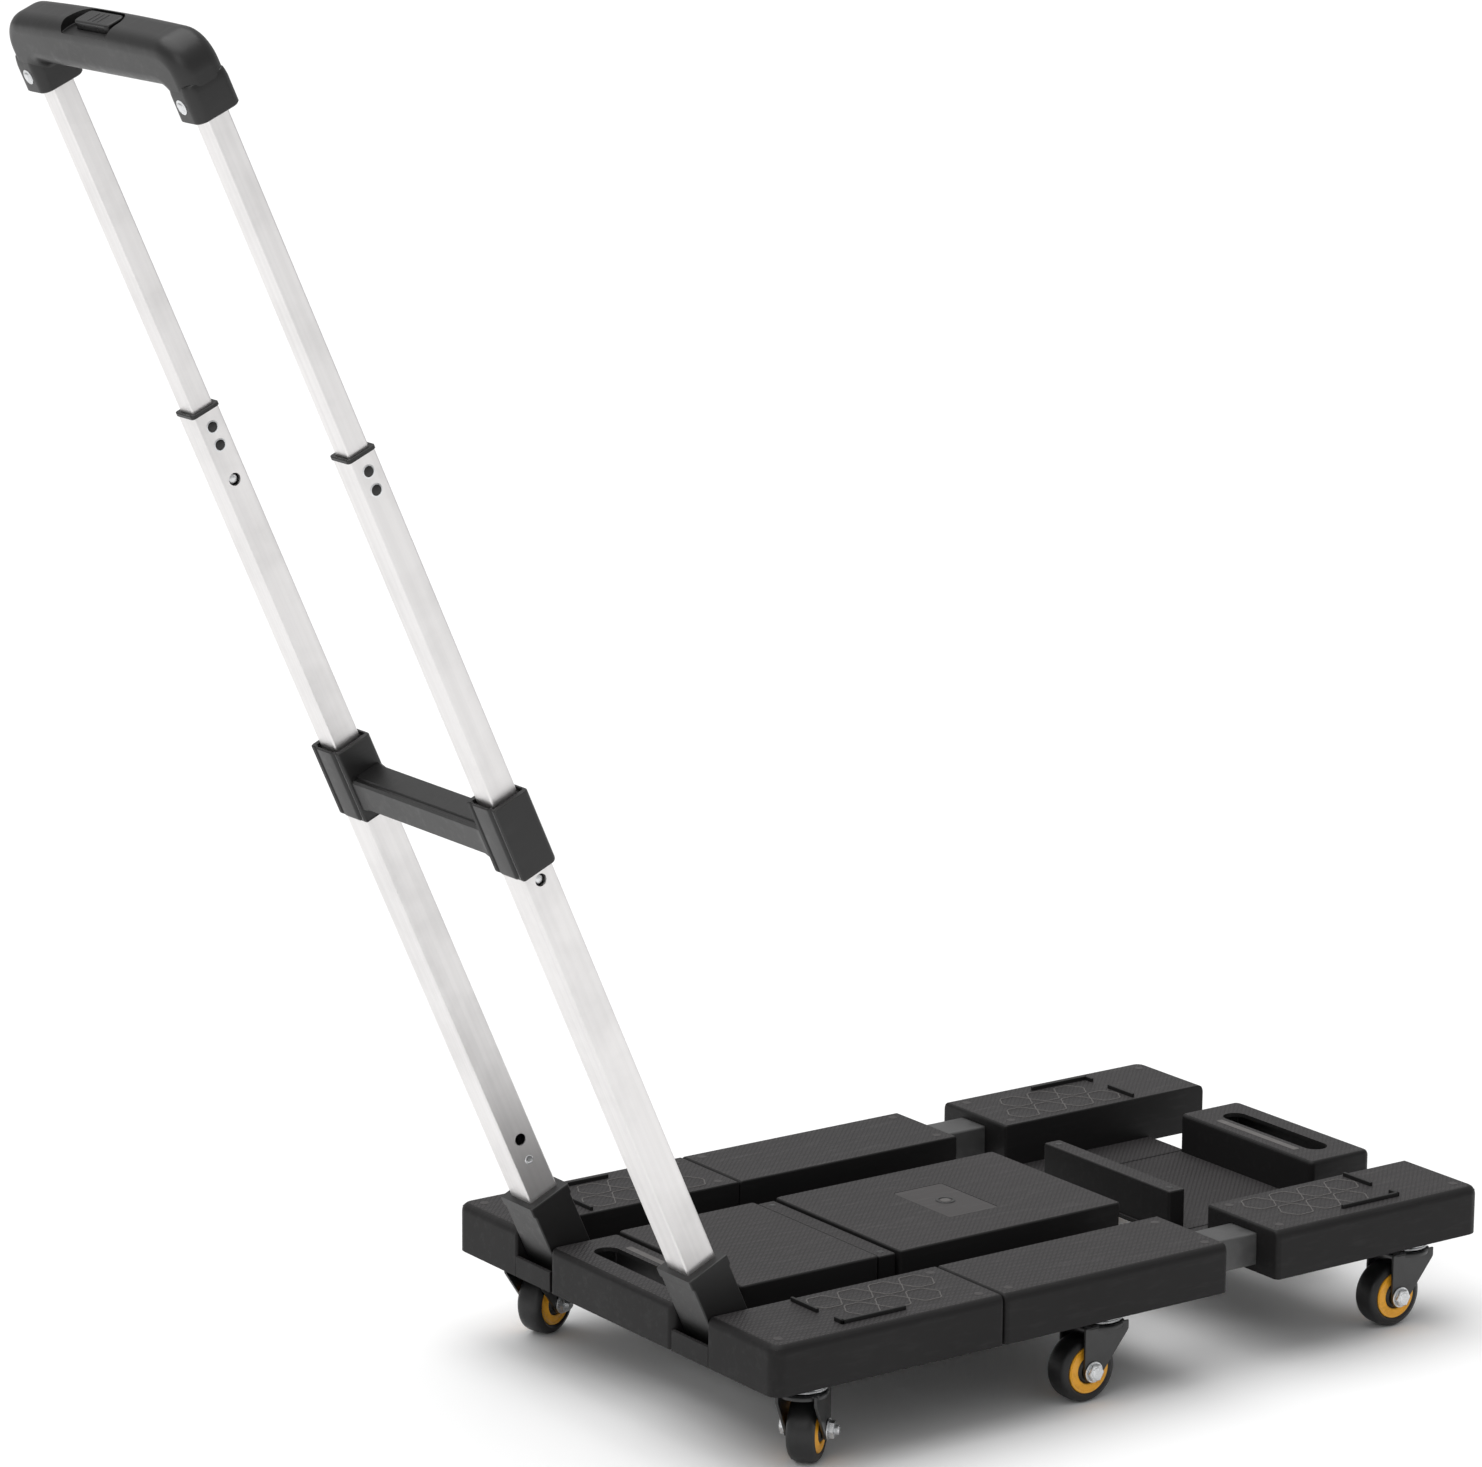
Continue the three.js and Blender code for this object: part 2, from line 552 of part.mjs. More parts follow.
// The cross brace: a capped sleeve on each lower tube and a bar between the sleeves.
function braceSleeve(y) {
  const shape = roundedRectangle(braceDepth, braceWidth, 5);
  const sleeve = prism(shape, braceBottom, braceTop, 3).translate(0, y, 0);
  const pocket = squareBar(LOWER_TUBE / 2 + TOUCH, y, braceBottom - 1, braceTop - BRACE_LIP);
  const opening = squareBar(middleTubeSize / 2 + RUNNING, y, braceBottom, braceTop + 1);
  return [sleeve, pocket, opening];
}
const sleeves = SIDES.map(({ sign }) => braceSleeve(sign * tubeY));
const barHalf = tubeY - braceWidth / 2 + 2;
const braceBarShape = roundedRectangle(BRACE_BAR_DEPTH, 2 * barHalf, 0.5);
const barStart = braceBottom + BRACE_BAR_RISE;
const braceBar = prism(braceBarShape, barStart, barStart + BRACE_BAR_HEIGHT, 1);
const brace = cut(
  join(braceBar, ...sleeves.map(([sleeve]) => sleeve)),
  ...sleeves.flatMap(([, pocket, opening]) => [pocket, opening]),
);
place("cross_brace", brace, handlePlastic, handle);

// The grip: an arch of two legs and a bar, with pockets for the tubes and a yoke channel.
function gripArch() {
  const [w, inner] = [gripHalf, gripInner];
  const [outerRadius, innerRadius] = [26, 10];
  const shape = new THREE.Shape();
  shape.moveTo(-w, gripBottom);
  shape.lineTo(-inner, gripBottom);
  shape.absarc(-inner + innerRadius, barBottom - innerRadius, innerRadius, Math.PI, Math.PI / 2, true);
  shape.absarc(inner - innerRadius, barBottom - innerRadius, innerRadius, Math.PI / 2, 0, true);
  shape.lineTo(inner, gripBottom);
  shape.lineTo(w, gripBottom);
  shape.absarc(w - outerRadius, gripTop - outerRadius, outerRadius, 0, Math.PI / 2);
  shape.absarc(-w + outerRadius, gripTop - outerRadius, outerRadius, Math.PI / 2, Math.PI);
  shape.closePath();
  const bevel = 6;
  const geometry = new THREE.ExtrudeGeometry(shape, {
    depth: GRIP_DEPTH - 2 * bevel,
    bevelThickness: bevel,
    bevelSize: bevel,
    bevelOffset: -bevel,
    bevelSegments: 2,
    curveSegments: 3,
  });
  geometry.translate(0, 0, bevel - GRIP_DEPTH / 2);
  // the outline's X and Y become the handle's Y and Z
  geometry.rotateX(Math.PI / 2);
  geometry.rotateZ(Math.PI / 2);
  return solid(geometry);
}

const yokeRoom = YOKE_SIZE / 2 + 1.5;
const yokeEnd = tubeY + ROD_RADIUS + 4;
const yokeChannel = box(-yokeRoom - 1, yokeRoom + 3, -yokeEnd - 1, yokeEnd + 1,
  yokeBottom - BUTTON_TRAVEL - 1, yokeTop + 1);
const springSeat = cylinder(6.5, barBottom + 4, yokeTop, 12);
const buttonSlot = prism(
  roundedRectangle(BUTTON_WIDTH, BUTTON_LENGTH, BUTTON_WIDTH / 2), yokeBottom, gripTop + 5, 4);
const gripCuts = SIDES.flatMap(({ sign }) => {
  const y = sign * tubeY;
  const rivetX = -GRIP_DEPTH / 2;
  return [
    squareBar(topTubeSize / 2 + TOUCH, y, gripBottom - 1, gripBottom + GRIP_POCKET_DEPTH),
    lengthBar(RIVET_RADIUS + TOUCH, 4, rivetX, y, rivetZ, 14),
    lengthBar(RIVET_SHANK_RADIUS + RUNNING, 16, rivetX + 8, y, rivetZ, 10),
    cylinder(ROD_RADIUS + 1, gripBottom + GRIP_POCKET_DEPTH - 1, yokeTop, 8).translate(3.2, y, 0),
  ];
});
const grip = cut(gripArch(), yokeChannel, springSeat, buttonSlot, ...gripCuts);
place("handle_grip", grip, handlePlastic, handle);

// The release button with the yoke that pushes both rods.
const buttonCap = prism(
  roundedRectangle(BUTTON_WIDTH - 2 * RUNNING, BUTTON_LENGTH - 2 * RUNNING, BUTTON_WIDTH / 2 - RUNNING),
  yokeTop - 1, gripTop, 4);
const yoke = box(-YOKE_SIZE / 2, YOKE_SIZE / 2 + 2.5, -yokeEnd, yokeEnd, yokeBottom, yokeTop);
place("release_button", join(buttonCap, yoke), handlePlastic, handle);

// The button's return spring, a round coil drawn at its pressed length under the yoke.
class Coil extends THREE.Curve {
  constructor(radius, bottom, top, turns) {
    super();
    Object.assign(this, { radius, bottom, top, turns });
  }

  getPoint(t, target = new THREE.Vector3()) {
    const angle = t * this.turns * 2 * Math.PI;
    const height = this.bottom + (this.top - this.bottom) * t;
    return target.set(this.radius * Math.cos(angle), this.radius * Math.sin(angle), height);
  }
}
const springWire = 0.6;
const springBottom = barBottom + 4 + TOUCH + springWire;
const springTop = yokeBottom - BUTTON_TRAVEL - TOUCH - springWire;
const wireSection = new THREE.Shape().absarc(0, 0, springWire, 0, 2 * Math.PI);
const spring = new THREE.ExtrudeGeometry(wireSection, {
  extrudePath: new Coil(4.5, springBottom, springTop, 4),
  steps: 40,
  curveSegments: 3,
});
place("button_spring", solid(spring), zincSteel, handle);

// ---------------------------------------------------------------- casters
const forkUnder = forkTop - FORK_SHEET;
const legInner = WHEEL_WIDTH / 2 + 1.8;
const legOuter = legInner + FORK_SHEET;

// Top plate with four screw holes, the swivel race and the kingpin that holds the fork.
function casterPlate() {
  const plate = prism(roundedRectangle(PLATE_LENGTH, PLATE_WIDTH, 6), plateBottom, plateTop, 2);
  const race = cylinder(RACE_RADIUS, raceBottom, plateBottom + 0.5, 16);
  const kingpin = cylinder(KINGPIN_RADIUS, forkUnder - 2.5, raceBottom + 1, 10);
  const head = cylinder(KINGPIN_RADIUS + 2.5, forkUnder - 3, forkUnder - TOUCH, 10);
  const [holeX, holeY] = [PLATE_LENGTH / 2 - SCREW_INSET, PLATE_WIDTH / 2 - SCREW_INSET];
  const hole = (x, y) => cylinder(SCREW_HOLE_RADIUS, plateBottom - 1, plateTop + 1, 6).translate(x, y, 0);
  const holes = [-holeX, holeX].flatMap((x) => [hole(x, -holeY), hole(x, holeY)]);
  return cut(join(plate, race, kingpin, head), ...holes);
}

// A pressed fork: a round top sheet and two legs that reach back to the axle.
function casterFork() {
  const top = cylinder(FORK_RADIUS, forkUnder, forkTop, 16);
  const bridge = box(-FORK_RADIUS + 4, FORK_RADIUS - 4, -legOuter, legOuter, forkUnder, forkTop);
  const toe = 8;
  const leg = new THREE.Shape();
  leg.moveTo(-CASTER_TRAIL - toe, forkTop);
  leg.lineTo(-CASTER_TRAIL - toe, WHEEL_RADIUS);
  leg.absarc(-CASTER_TRAIL, WHEEL_RADIUS, toe, Math.PI, 2 * Math.PI - 0.5);
  leg.lineTo(FORK_RADIUS - 2, forkTop - 8);
  leg.lineTo(FORK_RADIUS - 2, forkTop);
  leg.closePath();
  const legs = [1, -1].map((side) => {
    const geometry = new THREE.ExtrudeGeometry(leg, {
      depth: FORK_SHEET,
      bevelEnabled: false,
      curveSegments: 4,
    });
    geometry.rotateX(Math.PI / 2);
    geometry.translate(0, side > 0 ? legOuter : -legInner, 0);
    return solid(geometry);
  });
  const flange = box(-CASTER_TRAIL - toe, 0, -legOuter, legOuter, forkUnder, forkTop);
  const kingpinHole = cylinder(KINGPIN_RADIUS + RUNNING, forkUnder - 1, forkTop + 1, 10);
  const axleEnd = legOuter + 1;
  const axleHole = crossBar(AXLE_RADIUS + RUNNING, -CASTER_TRAIL, WHEEL_RADIUS, -axleEnd, axleEnd, 10);
  return cut(join(top, bridge, flange, ...legs), kingpinHole, axleHole);
}

// A ring turned about the Y axis from a closed profile of [radius, y] points.
function turned(profile, segments) {
  const points = [...profile, profile[0]].map(([radius, y]) => new THREE.Vector2(radius, y));
  return solid(new THREE.LatheGeometry(points, segments));
}

function tyre() {
  const half = WHEEL_WIDTH / 2;
  const bore = rimRadius + TOUCH;
  return turned(
    [[bore, -half + 1], [WHEEL_RADIUS - 3, -half + 0.5], [WHEEL_RADIUS, -half + 4],
      [WHEEL_RADIUS, half - 4], [WHEEL_RADIUS - 3, half - 0.5], [bore, half - 1]],
    24,
  );
}

function rim() {
  const half = WHEEL_WIDTH / 2;
  const bore = AXLE_RADIUS + RUNNING;
  return turned(
    [[bore, -half - 1], [HUB_RADIUS, -half - 1], [rimRadius, -half + 1.5],
      [rimRadius, half - 1.5], [HUB_RADIUS, half + 1], [bore, half + 1]],
    24,
  );
}

// Axle bolt with a hexagon head on one side and a nut on the other.
function axleBolt() {
  const reach = legOuter + TOUCH;
  return join(
    crossBar(AXLE_RADIUS, 0, 0, -reach - 1, reach + 8, 10),
    crossBar(7, 0, 0, -reach - 4, -reach, 6),
    crossBar(7, 0, 0, reach, reach + 5, 6),
  );
}

const swivelX = {
  front: CASTER_INSET_X,
  middle: middleCasterX,
  rear: deckEnd - CASTER_INSET_X,
};
CASTERS.forEach(({ name, end, side, turn }) => {
  const station = new THREE.Group();
  station.position.set(swivelX[end], side * casterY, 0);
  cart.add(station);
  place(`caster_${name}_plate`, casterPlate(), paintedSteel, station);

  const swivel = new THREE.Group();
  swivel.rotation.z = THREE.MathUtils.degToRad(turn);
  station.add(swivel);
  place(`caster_${name}_fork`, casterFork(), paintedSteel, swivel);

  const axle = new THREE.Group();
  axle.position.set(-CASTER_TRAIL, 0, WHEEL_RADIUS);
  swivel.add(axle);
  place(`caster_${name}_axle_bolt`, axleBolt(), zincSteel, axle);
  place(`caster_${name}_tyre`, tyre(), tyreRubber, axle);
  place(`caster_${name}_rim`, rim(), rimPlastic, axle);
});

// The origin is under the middle of the whole cart, on the floor.
cart.updateMatrixWorld(true);
const extent = new THREE.Box3().setFromObject(cart, true);
cart.position.set(-(extent.min.x + extent.max.x) / 2, -(extent.min.y + extent.max.y) / 2, -extent.min.z);
cart.updateMatrixWorld(true);

export default cart;
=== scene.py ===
"""Looks of a folding platform cart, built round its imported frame.

Three black mouldings on six swivel casters make the deck, and a telescopic handle of
square tubes leans back over one end. Sizes are in metres. +X runs from the handle end to
the far end, +Y is the cart's left and +Z is up.
"""

from __future__ import annotations
import json
import logging
import math
from collections.abc import Callable, Sequence
from dataclasses import dataclass, field
from enum import Enum

import bmesh
import bpy
from mathutils import Matrix, Vector


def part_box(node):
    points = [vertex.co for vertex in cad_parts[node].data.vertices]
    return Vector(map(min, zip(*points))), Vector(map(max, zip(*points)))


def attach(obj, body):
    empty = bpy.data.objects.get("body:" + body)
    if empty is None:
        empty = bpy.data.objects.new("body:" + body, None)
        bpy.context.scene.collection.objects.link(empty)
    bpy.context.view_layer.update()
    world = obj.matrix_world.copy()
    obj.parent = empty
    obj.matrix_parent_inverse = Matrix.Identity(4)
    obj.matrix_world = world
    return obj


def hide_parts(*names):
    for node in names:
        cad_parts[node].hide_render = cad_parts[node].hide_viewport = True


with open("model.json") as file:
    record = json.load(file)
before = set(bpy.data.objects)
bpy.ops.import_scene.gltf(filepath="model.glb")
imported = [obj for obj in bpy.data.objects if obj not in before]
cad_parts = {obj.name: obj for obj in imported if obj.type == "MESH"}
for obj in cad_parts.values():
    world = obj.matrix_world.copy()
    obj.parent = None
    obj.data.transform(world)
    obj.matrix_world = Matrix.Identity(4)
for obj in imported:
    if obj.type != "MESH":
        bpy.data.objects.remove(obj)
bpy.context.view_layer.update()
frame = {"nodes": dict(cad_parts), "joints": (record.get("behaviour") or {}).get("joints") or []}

log = logging.getLogger("cart")

Colour = tuple[float, float, float]
Outline = list[tuple[float, float]]
STILL = Matrix.Identity(4)


class Side(Enum):
    """The two sides of the cart, as the sign of Y."""

    LEFT = 1
    RIGHT = -1

    @property
    def label(self) -> str:
        """The side's name as it stands in the frame's node names."""
        return self.name.lower()


class Tread(Enum):
    """What the upward faces of a moulding carry."""

    SMOOTH = "smooth"
    DIAMOND = "diamond"


class End(Enum):
    """The end of the deck that a section closes."""

    FRONT = "front"
    REAR = "rear"


# ---------------------------------------------------------------- shader wiring
class Signal:
    """A number that varies over a surface: the output socket of a shader node."""

    def __init__(self, graph: Graph, socket: bpy.types.NodeSocket) -> None:
        """Wraps a socket that belongs to a graph."""
        self.graph = graph
        self.socket = socket

    def _math(self, operation: str, *values: Number, clamp: bool = False) -> Signal:
        """Adds one Math node.

        Args:
            operation: The node's operation.
            values: Its inputs in order.
            clamp: Whether the result is kept between 0 and 1.

        Returns:
            The node's result.
        """
        settings = {"operation": operation, "use_clamp": clamp}
        made = self.graph.node("ShaderNodeMath", settings, dict(enumerate(values)))
        return Signal(self.graph, made.outputs[0])

    def __add__(self, other: Number) -> Signal:
        """The sum."""
        return self._math("ADD", self, other)

    __radd__ = __add__

    def __mul__(self, other: Number) -> Signal:
        """The product."""
        return self._math("MULTIPLY", self, other)

    __rmul__ = __mul__

    def __sub__(self, other: Number) -> Signal:
        """The difference."""
        return self._math("SUBTRACT", self, other)

    def __rsub__(self, other: Number) -> Signal:
        """The difference, taken from another number."""
        return self._math("SUBTRACT", other, self)

    def __truediv__(self, other: Number) -> Signal:
        """The quotient."""
        return self._math("DIVIDE", self, other)

    def __pow__(self, other: Number) -> Signal:
        """The power."""
        return self._math("POWER", self, other)

    def __abs__(self) -> Signal:
        """The size without its sign."""
        return self._math("ABSOLUTE", self)

    def fraction(self) -> Signal:
        """What is left over the whole number below."""
        return self._math("FRACT", self)

    def smaller(self, other: Number) -> Signal:
        """The smaller of the two."""
        return self._math("MINIMUM", self, other)

    def between(self, low: float, high: float) -> Signal:
        """0 up to the low number, 1 from the high one on, and even between them."""
        return self._math("MULTIPLY", self - low, 1 / (high - low), clamp=True)


Number = float | Signal


class Graph:
    """The node tree of one finish while it is wired."""

    def __init__(self, name: str) -> None:
        """Starts an empty material of that name.

        Args:
            name: The material's name.
        """
        self.material = bpy.data.materials.new(name)
        self.material.use_nodes = True
        self.tree = self.material.node_tree
        self.tree.nodes.clear()

    def node(self, kind: str, settings: dict[str, object] | None = None,
             inputs: dict[str | int, object] | None = None) -> bpy.types.Node:
        """Adds a node, sets it up, and then fills its sockets.

        Args:
            kind: The node's type.
            settings: Its settings by name. A ramp's stops are (place, grey) pairs under "stops".
            inputs: Values, signals or sockets by the socket's name or number.

        Returns:
            The node.
        """
        made = self.tree.nodes.new(kind)
        for name, value in (settings or {}).items():
            if name == "stops":
                for stop, (place, grey) in zip(made.color_ramp.elements, value):
                    stop.position = place
                    stop.color = (grey, grey, grey, 1)
            else:
                setattr(made, name, value)
        for name, value in (inputs or {}).items():
            source = value.socket if isinstance(value, Signal) else value
            if isinstance(source, bpy.types.NodeSocket):
                self.tree.links.new(source, made.inputs[name])
            else:
                made.inputs[name].default_value = source
        return made

    def point(self) -> bpy.types.NodeSocket:
        """The place on the piece, in metres, which stays with the piece as it moves."""
        return self.node("ShaderNodeTexCoord").outputs["Object"]

    def stretched(self, scale: Sequence[float]) -> bpy.types.NodeSocket:
        """The place on the piece with each axis scaled."""
        settings = {"operation": "MULTIPLY"}
        return self.node("ShaderNodeVectorMath", settings, {0: self.point(), 1: scale}).outputs[0]

    def axes(self) -> tuple[Signal, Signal, Signal]:
        """The place on the piece as three numbers."""
        outputs = self.node("ShaderNodeSeparateXYZ", None, {0: self.point()}).outputs
        return Signal(self, outputs[0]), Signal(self, outputs[1]), Signal(self, outputs[2])

    def facing_up(self) -> Signal:
        """1 where the surface is level and looks up, and 0 on walls and round edges.

        Returns:
            The mask.
        """
        normal = self.node("ShaderNodeNewGeometry").outputs["Normal"]
        height = self.node("ShaderNodeSeparateXYZ", None, {0: normal}).outputs[2]
        return Signal(self, height).between(0.93, 0.99)

    def noise(self, scale: float, detail: float = 2.0, roughness: float = 0.5,
              vector: bpy.types.NodeSocket | None = None) -> Signal:
        """Smooth noise from 0 to 1.

        Args:
            scale: Waves to the metre.
            detail: Number of finer layers.
            roughness: Strength of the finer layers.
            vector: Where to read it, if not at the plain place on the piece.

        Returns:
            The noise.
        """
        inputs = {"Vector": vector or self.point(), "Scale": scale, "Detail": detail,
                  "Roughness": roughness}
        return Signal(self, self.node("ShaderNodeTexNoise", None, inputs).outputs[0])

    def blend(self, share: Number, first: Colour, second: Colour) -> bpy.types.NodeSocket:
        """One colour turning into another.

        Args:
            share: How much of the second colour there is.
            first: The colour at 0.
            second: The colour at 1.

        Returns:
            The mixed colour.
        """
        settings = {"data_type": "RGBA"}
        inputs = {0: share, 6: (*first, 1), 7: (*second, 1)}
        return self.node("ShaderNodeMix", settings, inputs).outputs[2]

    def bump(self, height: Signal, distance: float, strength: float = 1.0) -> bpy.types.NodeSocket:
        """The surface's normal over small relief.

        Args:
            height: The relief, from 0 to 1.
            distance: Its real height.
            strength: How much of it shows.

        Returns:
            The normal.
        """
        inputs = {"Height": height, "Distance": distance, "Strength": strength}
        return self.node("ShaderNodeBump", None, inputs).outputs[0]

    def close(self, inputs: dict[str, object]) -> bpy.types.Material:
        """Ends the tree in a surface shader with those sockets set, and returns the material.

        Args:
            inputs: Values or sockets of the surface shader, by name.

        Returns:
            The finished material.
        """
        shader = self.node("ShaderNodeBsdfPrincipled", None, inputs)
        self.node("ShaderNodeOutputMaterial", None, {"Surface": shader.outputs[0]})
        return self.material


# ---------------------------------------------------------------- finishes
@dataclass(frozen=True)
class Finish:
    """What each finish states: its names, its colour, and how dull it is."""

    name: str
    slot: str
    colour: Colour
    roughness: float

    def material(self) -> bpy.types.Material:
        """The finish's material, wired on first use."""
        return bpy.data.materials.get(self.name) or self.wire(Graph(self.name))

    def wire(self, graph: Graph) -> bpy.types.Material:
        """Wires the finish, which each kind does its own way."""
        raise NotImplementedError

    def shade(self, factor: float) -> Colour:
        """The finish's colour made lighter or darker."""
        red, green, blue = self.colour
        return (red * factor, green * factor, blue * factor)


@dataclass(frozen=True)
class MouldedPlastic(Finish):
    """Injection-moulded plastic: spark-eroded grain, flow clouds, handling dust, painted light on its upward
    faces and a tread.
    """

    tread: Tread = Tread.SMOOTH
    pitch: float = 0.0032
    relief: float = 0.0006
    grain: float = 0.00005
    # Share of the pale tone on upward faces, for dust and painted light on the lit tops, and how pale that
    # tone is.
    dust: float = 0.35
    wear: float = 2.1
    gloss: float = 0.5

    def wire(self, graph: Graph) -> bpy.types.Material:
        """Wires the finish into an empty graph and returns its material.

        Args:
            graph: The empty graph to wire it in.

        Returns:
            The finished material.
        """
        cloud = graph.noise(7.0, 4.0, 0.6).between(0.3, 0.7)
        grain = graph.noise(1300.0, 2.0)
        rub = graph.noise(1.0, 3.0, 0.7, graph.stretched((30.0, 160.0, 160.0))).between(0.52, 0.8)
        up = graph.facing_up()
        # Upward faces turn towards the pale tone: partly settled dust, partly painted light on the lit tops.
        # The rubbed streaks are wear.
        dust = up * self.dust * (0.6 + 0.4 * cloud) + 0.12 * rub
        height = grain * (self.grain / self.relief)
        if self.tread is Tread.DIAMOND:
            x, y, _ = graph.axes()
            step = self.pitch * math.sqrt(2)
            first = abs(((x + y) / step).fraction() - 0.5) * 2
            second = abs(((x - y) / step).fraction() - 0.5) * 2
            knurl = first.smaller(second)
            height = height + knurl * up
            # The diamond ridges take more of the pale tone, painted light along with dust.
            dust = dust + up * 0.45 * knurl
        return graph.close({
            "Base Color": graph.blend(dust, self.shade(0.8), self.shade(self.wear)),
            "Roughness": self.roughness + 0.1 * cloud - 0.12 * rub,
            "Normal": graph.bump(height, self.relief),
            "Specular IOR Level": self.gloss,
        })


@dataclass(frozen=True)
class SatinAluminium(Finish):
    """Extruded aluminium tube with fine lines drawn along its length, Z of the piece."""

    def wire(self, graph: Graph) -> bpy.types.Material:
        """Wires the finish into an empty graph and returns its material.

        Args:
            graph: The empty graph to wire it in.

        Returns:
            The finished material.
        """
        fine = graph.noise(1.0, 3.0, 0.7, graph.stretched((2600.0, 2600.0, 14.0)))
        broad = graph.noise(1.0, 2.0, 0.5, graph.stretched((260.0, 260.0, 2.2))).between(0.3, 0.7)
        handled = graph.noise(16.0, 5.0, 0.65).between(0.45, 0.75)
        return graph.close({
            "Base Color": graph.blend(0.5 * broad + 0.5 * handled, self.colour, self.shade(0.86)),
            "Metallic": 1.0,
            "Roughness": self.roughness + 0.1 * fine + 0.1 * handled,
            "Normal": graph.bump(fine, 0.00003),
        })


@dataclass(frozen=True)
class ZincPlate(Finish):
    """Bright zinc on steel screws, bolts and pins, with a faint spangle."""

    def wire(self, graph: Graph) -> bpy.types.Material:
        """Wires the finish into an empty graph and returns its material.

        Args:
            graph: The empty graph to wire it in.

        Returns:
            The finished material.
        """
        spangle = graph.noise(420.0, 3.0, 0.6).between(0.35, 0.65)
        stain = graph.noise(90.0, 4.0, 0.7).between(0.5, 0.8)
        return graph.close({
            "Base Color": graph.blend(stain, self.colour, self.shade(0.6)),
            "Metallic": 1.0,
            "Roughness": self.roughness + 0.14 * spangle,
            "Normal": graph.bump(spangle, 0.00004),
        })


@dataclass(frozen=True)
class CoatedSteel(Finish):
    """Pressed steel under paint, with a little orange peel and rubbed patches."""

    peel: float = 0.00006
    patch: float = 1.8

    def wire(self, graph: Graph) -> bpy.types.Material:
        """Wires the finish into an empty graph and returns its material.

        Args:
            graph: The empty graph to wire it in.

        Returns:
            The finished material.
        """
        peel = graph.noise(520.0, 2.0)
        patch = graph.noise(60.0, 5.0, 0.65).between(0.48, 0.78)
        return graph.close({
            "Base Color": graph.blend(patch, self.colour, self.shade(self.patch)),
            "Roughness": self.roughness + 0.18 * patch,
            "Coat Weight": 0.25 - 0.2 * patch,
            "Coat Roughness": 0.3,
            "Normal": graph.bump(peel, self.peel),
        })


@dataclass(frozen=True)
class TyreRubber(Finish):
    """Cast tyre with a dull bloom and fine floor dust on it."""

    def wire(self, graph: Graph) -> bpy.types.Material:
        """Wires the finish into an empty graph and returns its material.

        Args:
            graph: The empty graph to wire it in.

        Returns:
            The finished material.
        """
        bloom = graph.noise(45.0, 4.0, 0.6).between(0.35, 0.8)
        pores = graph.noise(1100.0, 2.0)
        return graph.close({
            "Base Color": graph.blend(bloom, self.colour, self.shade(2.4)),
            "Roughness": self.roughness + 0.15 * bloom,
            "Normal": graph.bump(pores, 0.00006),
        })


@dataclass(frozen=True)
class RimPlastic(Finish):
    """Coloured rim moulding, a little darker where dirt has settled."""

    def wire(self, graph: Graph) -> bpy.types.Material:
        """Wires the finish into an empty graph and returns its material.

        Args:
            graph: The empty graph to wire it in.

        Returns:
            The finished material.
        """
        dirt = graph.noise(170.0, 4.0, 0.7).between(0.5, 0.9)
        grain = graph.noise(1500.0, 2.0)
        return graph.close({
            "Base Color": graph.blend(dirt, self.colour, self.shade(0.55)),
            "Roughness": self.roughness + 0.2 * dirt,
            "Normal": graph.bump(grain, 0.00003),
        })


@dataclass(frozen=True)
class PaleFloor(Finish):
    """Seamless pale paper that the cart stands on."""

    def wire(self, graph: Graph) -> bpy.types.Material:
        """Wires the finish into an empty graph and returns its material.

        Args:
            graph: The empty graph to wire it in.

        Returns:
            The finished material.
        """
        tone = graph.noise(1.5, 3.0)
        fibre = graph.noise(500.0, 2.0)
        return graph.close({
            "Base Color": graph.blend(tone, self.colour, self.shade(0.985)),
            "Roughness": self.roughness,
            "Normal": graph.bump(fibre, 0.00002),
        })


# The deck and panels carry much of the pale tone on their upward faces: dust and painted light together.
DECK = MouldedPlastic("deck black", "deck_plastic", (0.0115, 0.0108, 0.011), 0.46, Tread.DIAMOND,
                      dust=0.55, wear=4.4, gloss=0.2)
PANEL = MouldedPlastic("panel black", "panel_plastic", (0.0125, 0.0117, 0.0119), 0.5, Tread.DIAMOND,
                       dust=0.55, wear=4.4, gloss=0.22)
RIB = MouldedPlastic("rib black", "deck_plastic", (0.0115, 0.011, 0.0112), 0.42, gloss=0.25)
BADGE = MouldedPlastic("badge plate black", "badge_plastic", (0.04, 0.037, 0.037), 0.4, gloss=0.3)
# Pale grey: the worn strip on the hand bars. On the tread loops the same grey is a painted highlight, and it
# also colours the badge stud.
STRIP = MouldedPlastic("worn grey", "deck_plastic", (0.085, 0.08, 0.078), 0.42, gloss=0.3)
HANDLE = MouldedPlastic("handle fittings black", "handle_plastic", (0.0085, 0.0082, 0.0082), 0.36)
GRIP = MouldedPlastic("grip black", "grip_plastic", (0.009, 0.0087, 0.0087), 0.34)
BUTTON = MouldedPlastic("button black", "button_plastic", (0.006, 0.0058, 0.0058), 0.26)
TUBE = SatinAluminium("satin aluminium", "tube_aluminium", (0.8, 0.785, 0.78), 0.3)
ZINC = ZincPlate("bright zinc", "zinc_steel", (0.72, 0.73, 0.74), 0.24)
FORK = CoatedSteel("fork black", "caster_steel", (0.008, 0.008, 0.0083), 0.32)
# Grey paint, set darker as painted shade for the shadow the rails lie in.
RAIL = CoatedSteel("rail grey", "rail_steel", (0.05, 0.05, 0.05), 0.5, patch=1.7)
TYRE = TyreRubber("tyre black", "tyre_rubber", (0.006, 0.006, 0.0062), 0.38)
RIM = RimPlastic("rim orange", "rim_plastic", (0.95, 0.45, 0.03), 0.32)
HUB = RimPlastic("hub black", "rim_plastic", (0.007, 0.007, 0.0072), 0.35)
FLOOR = PaleFloor("pale paper", "", (0.92, 0.92, 0.92), 0.8)


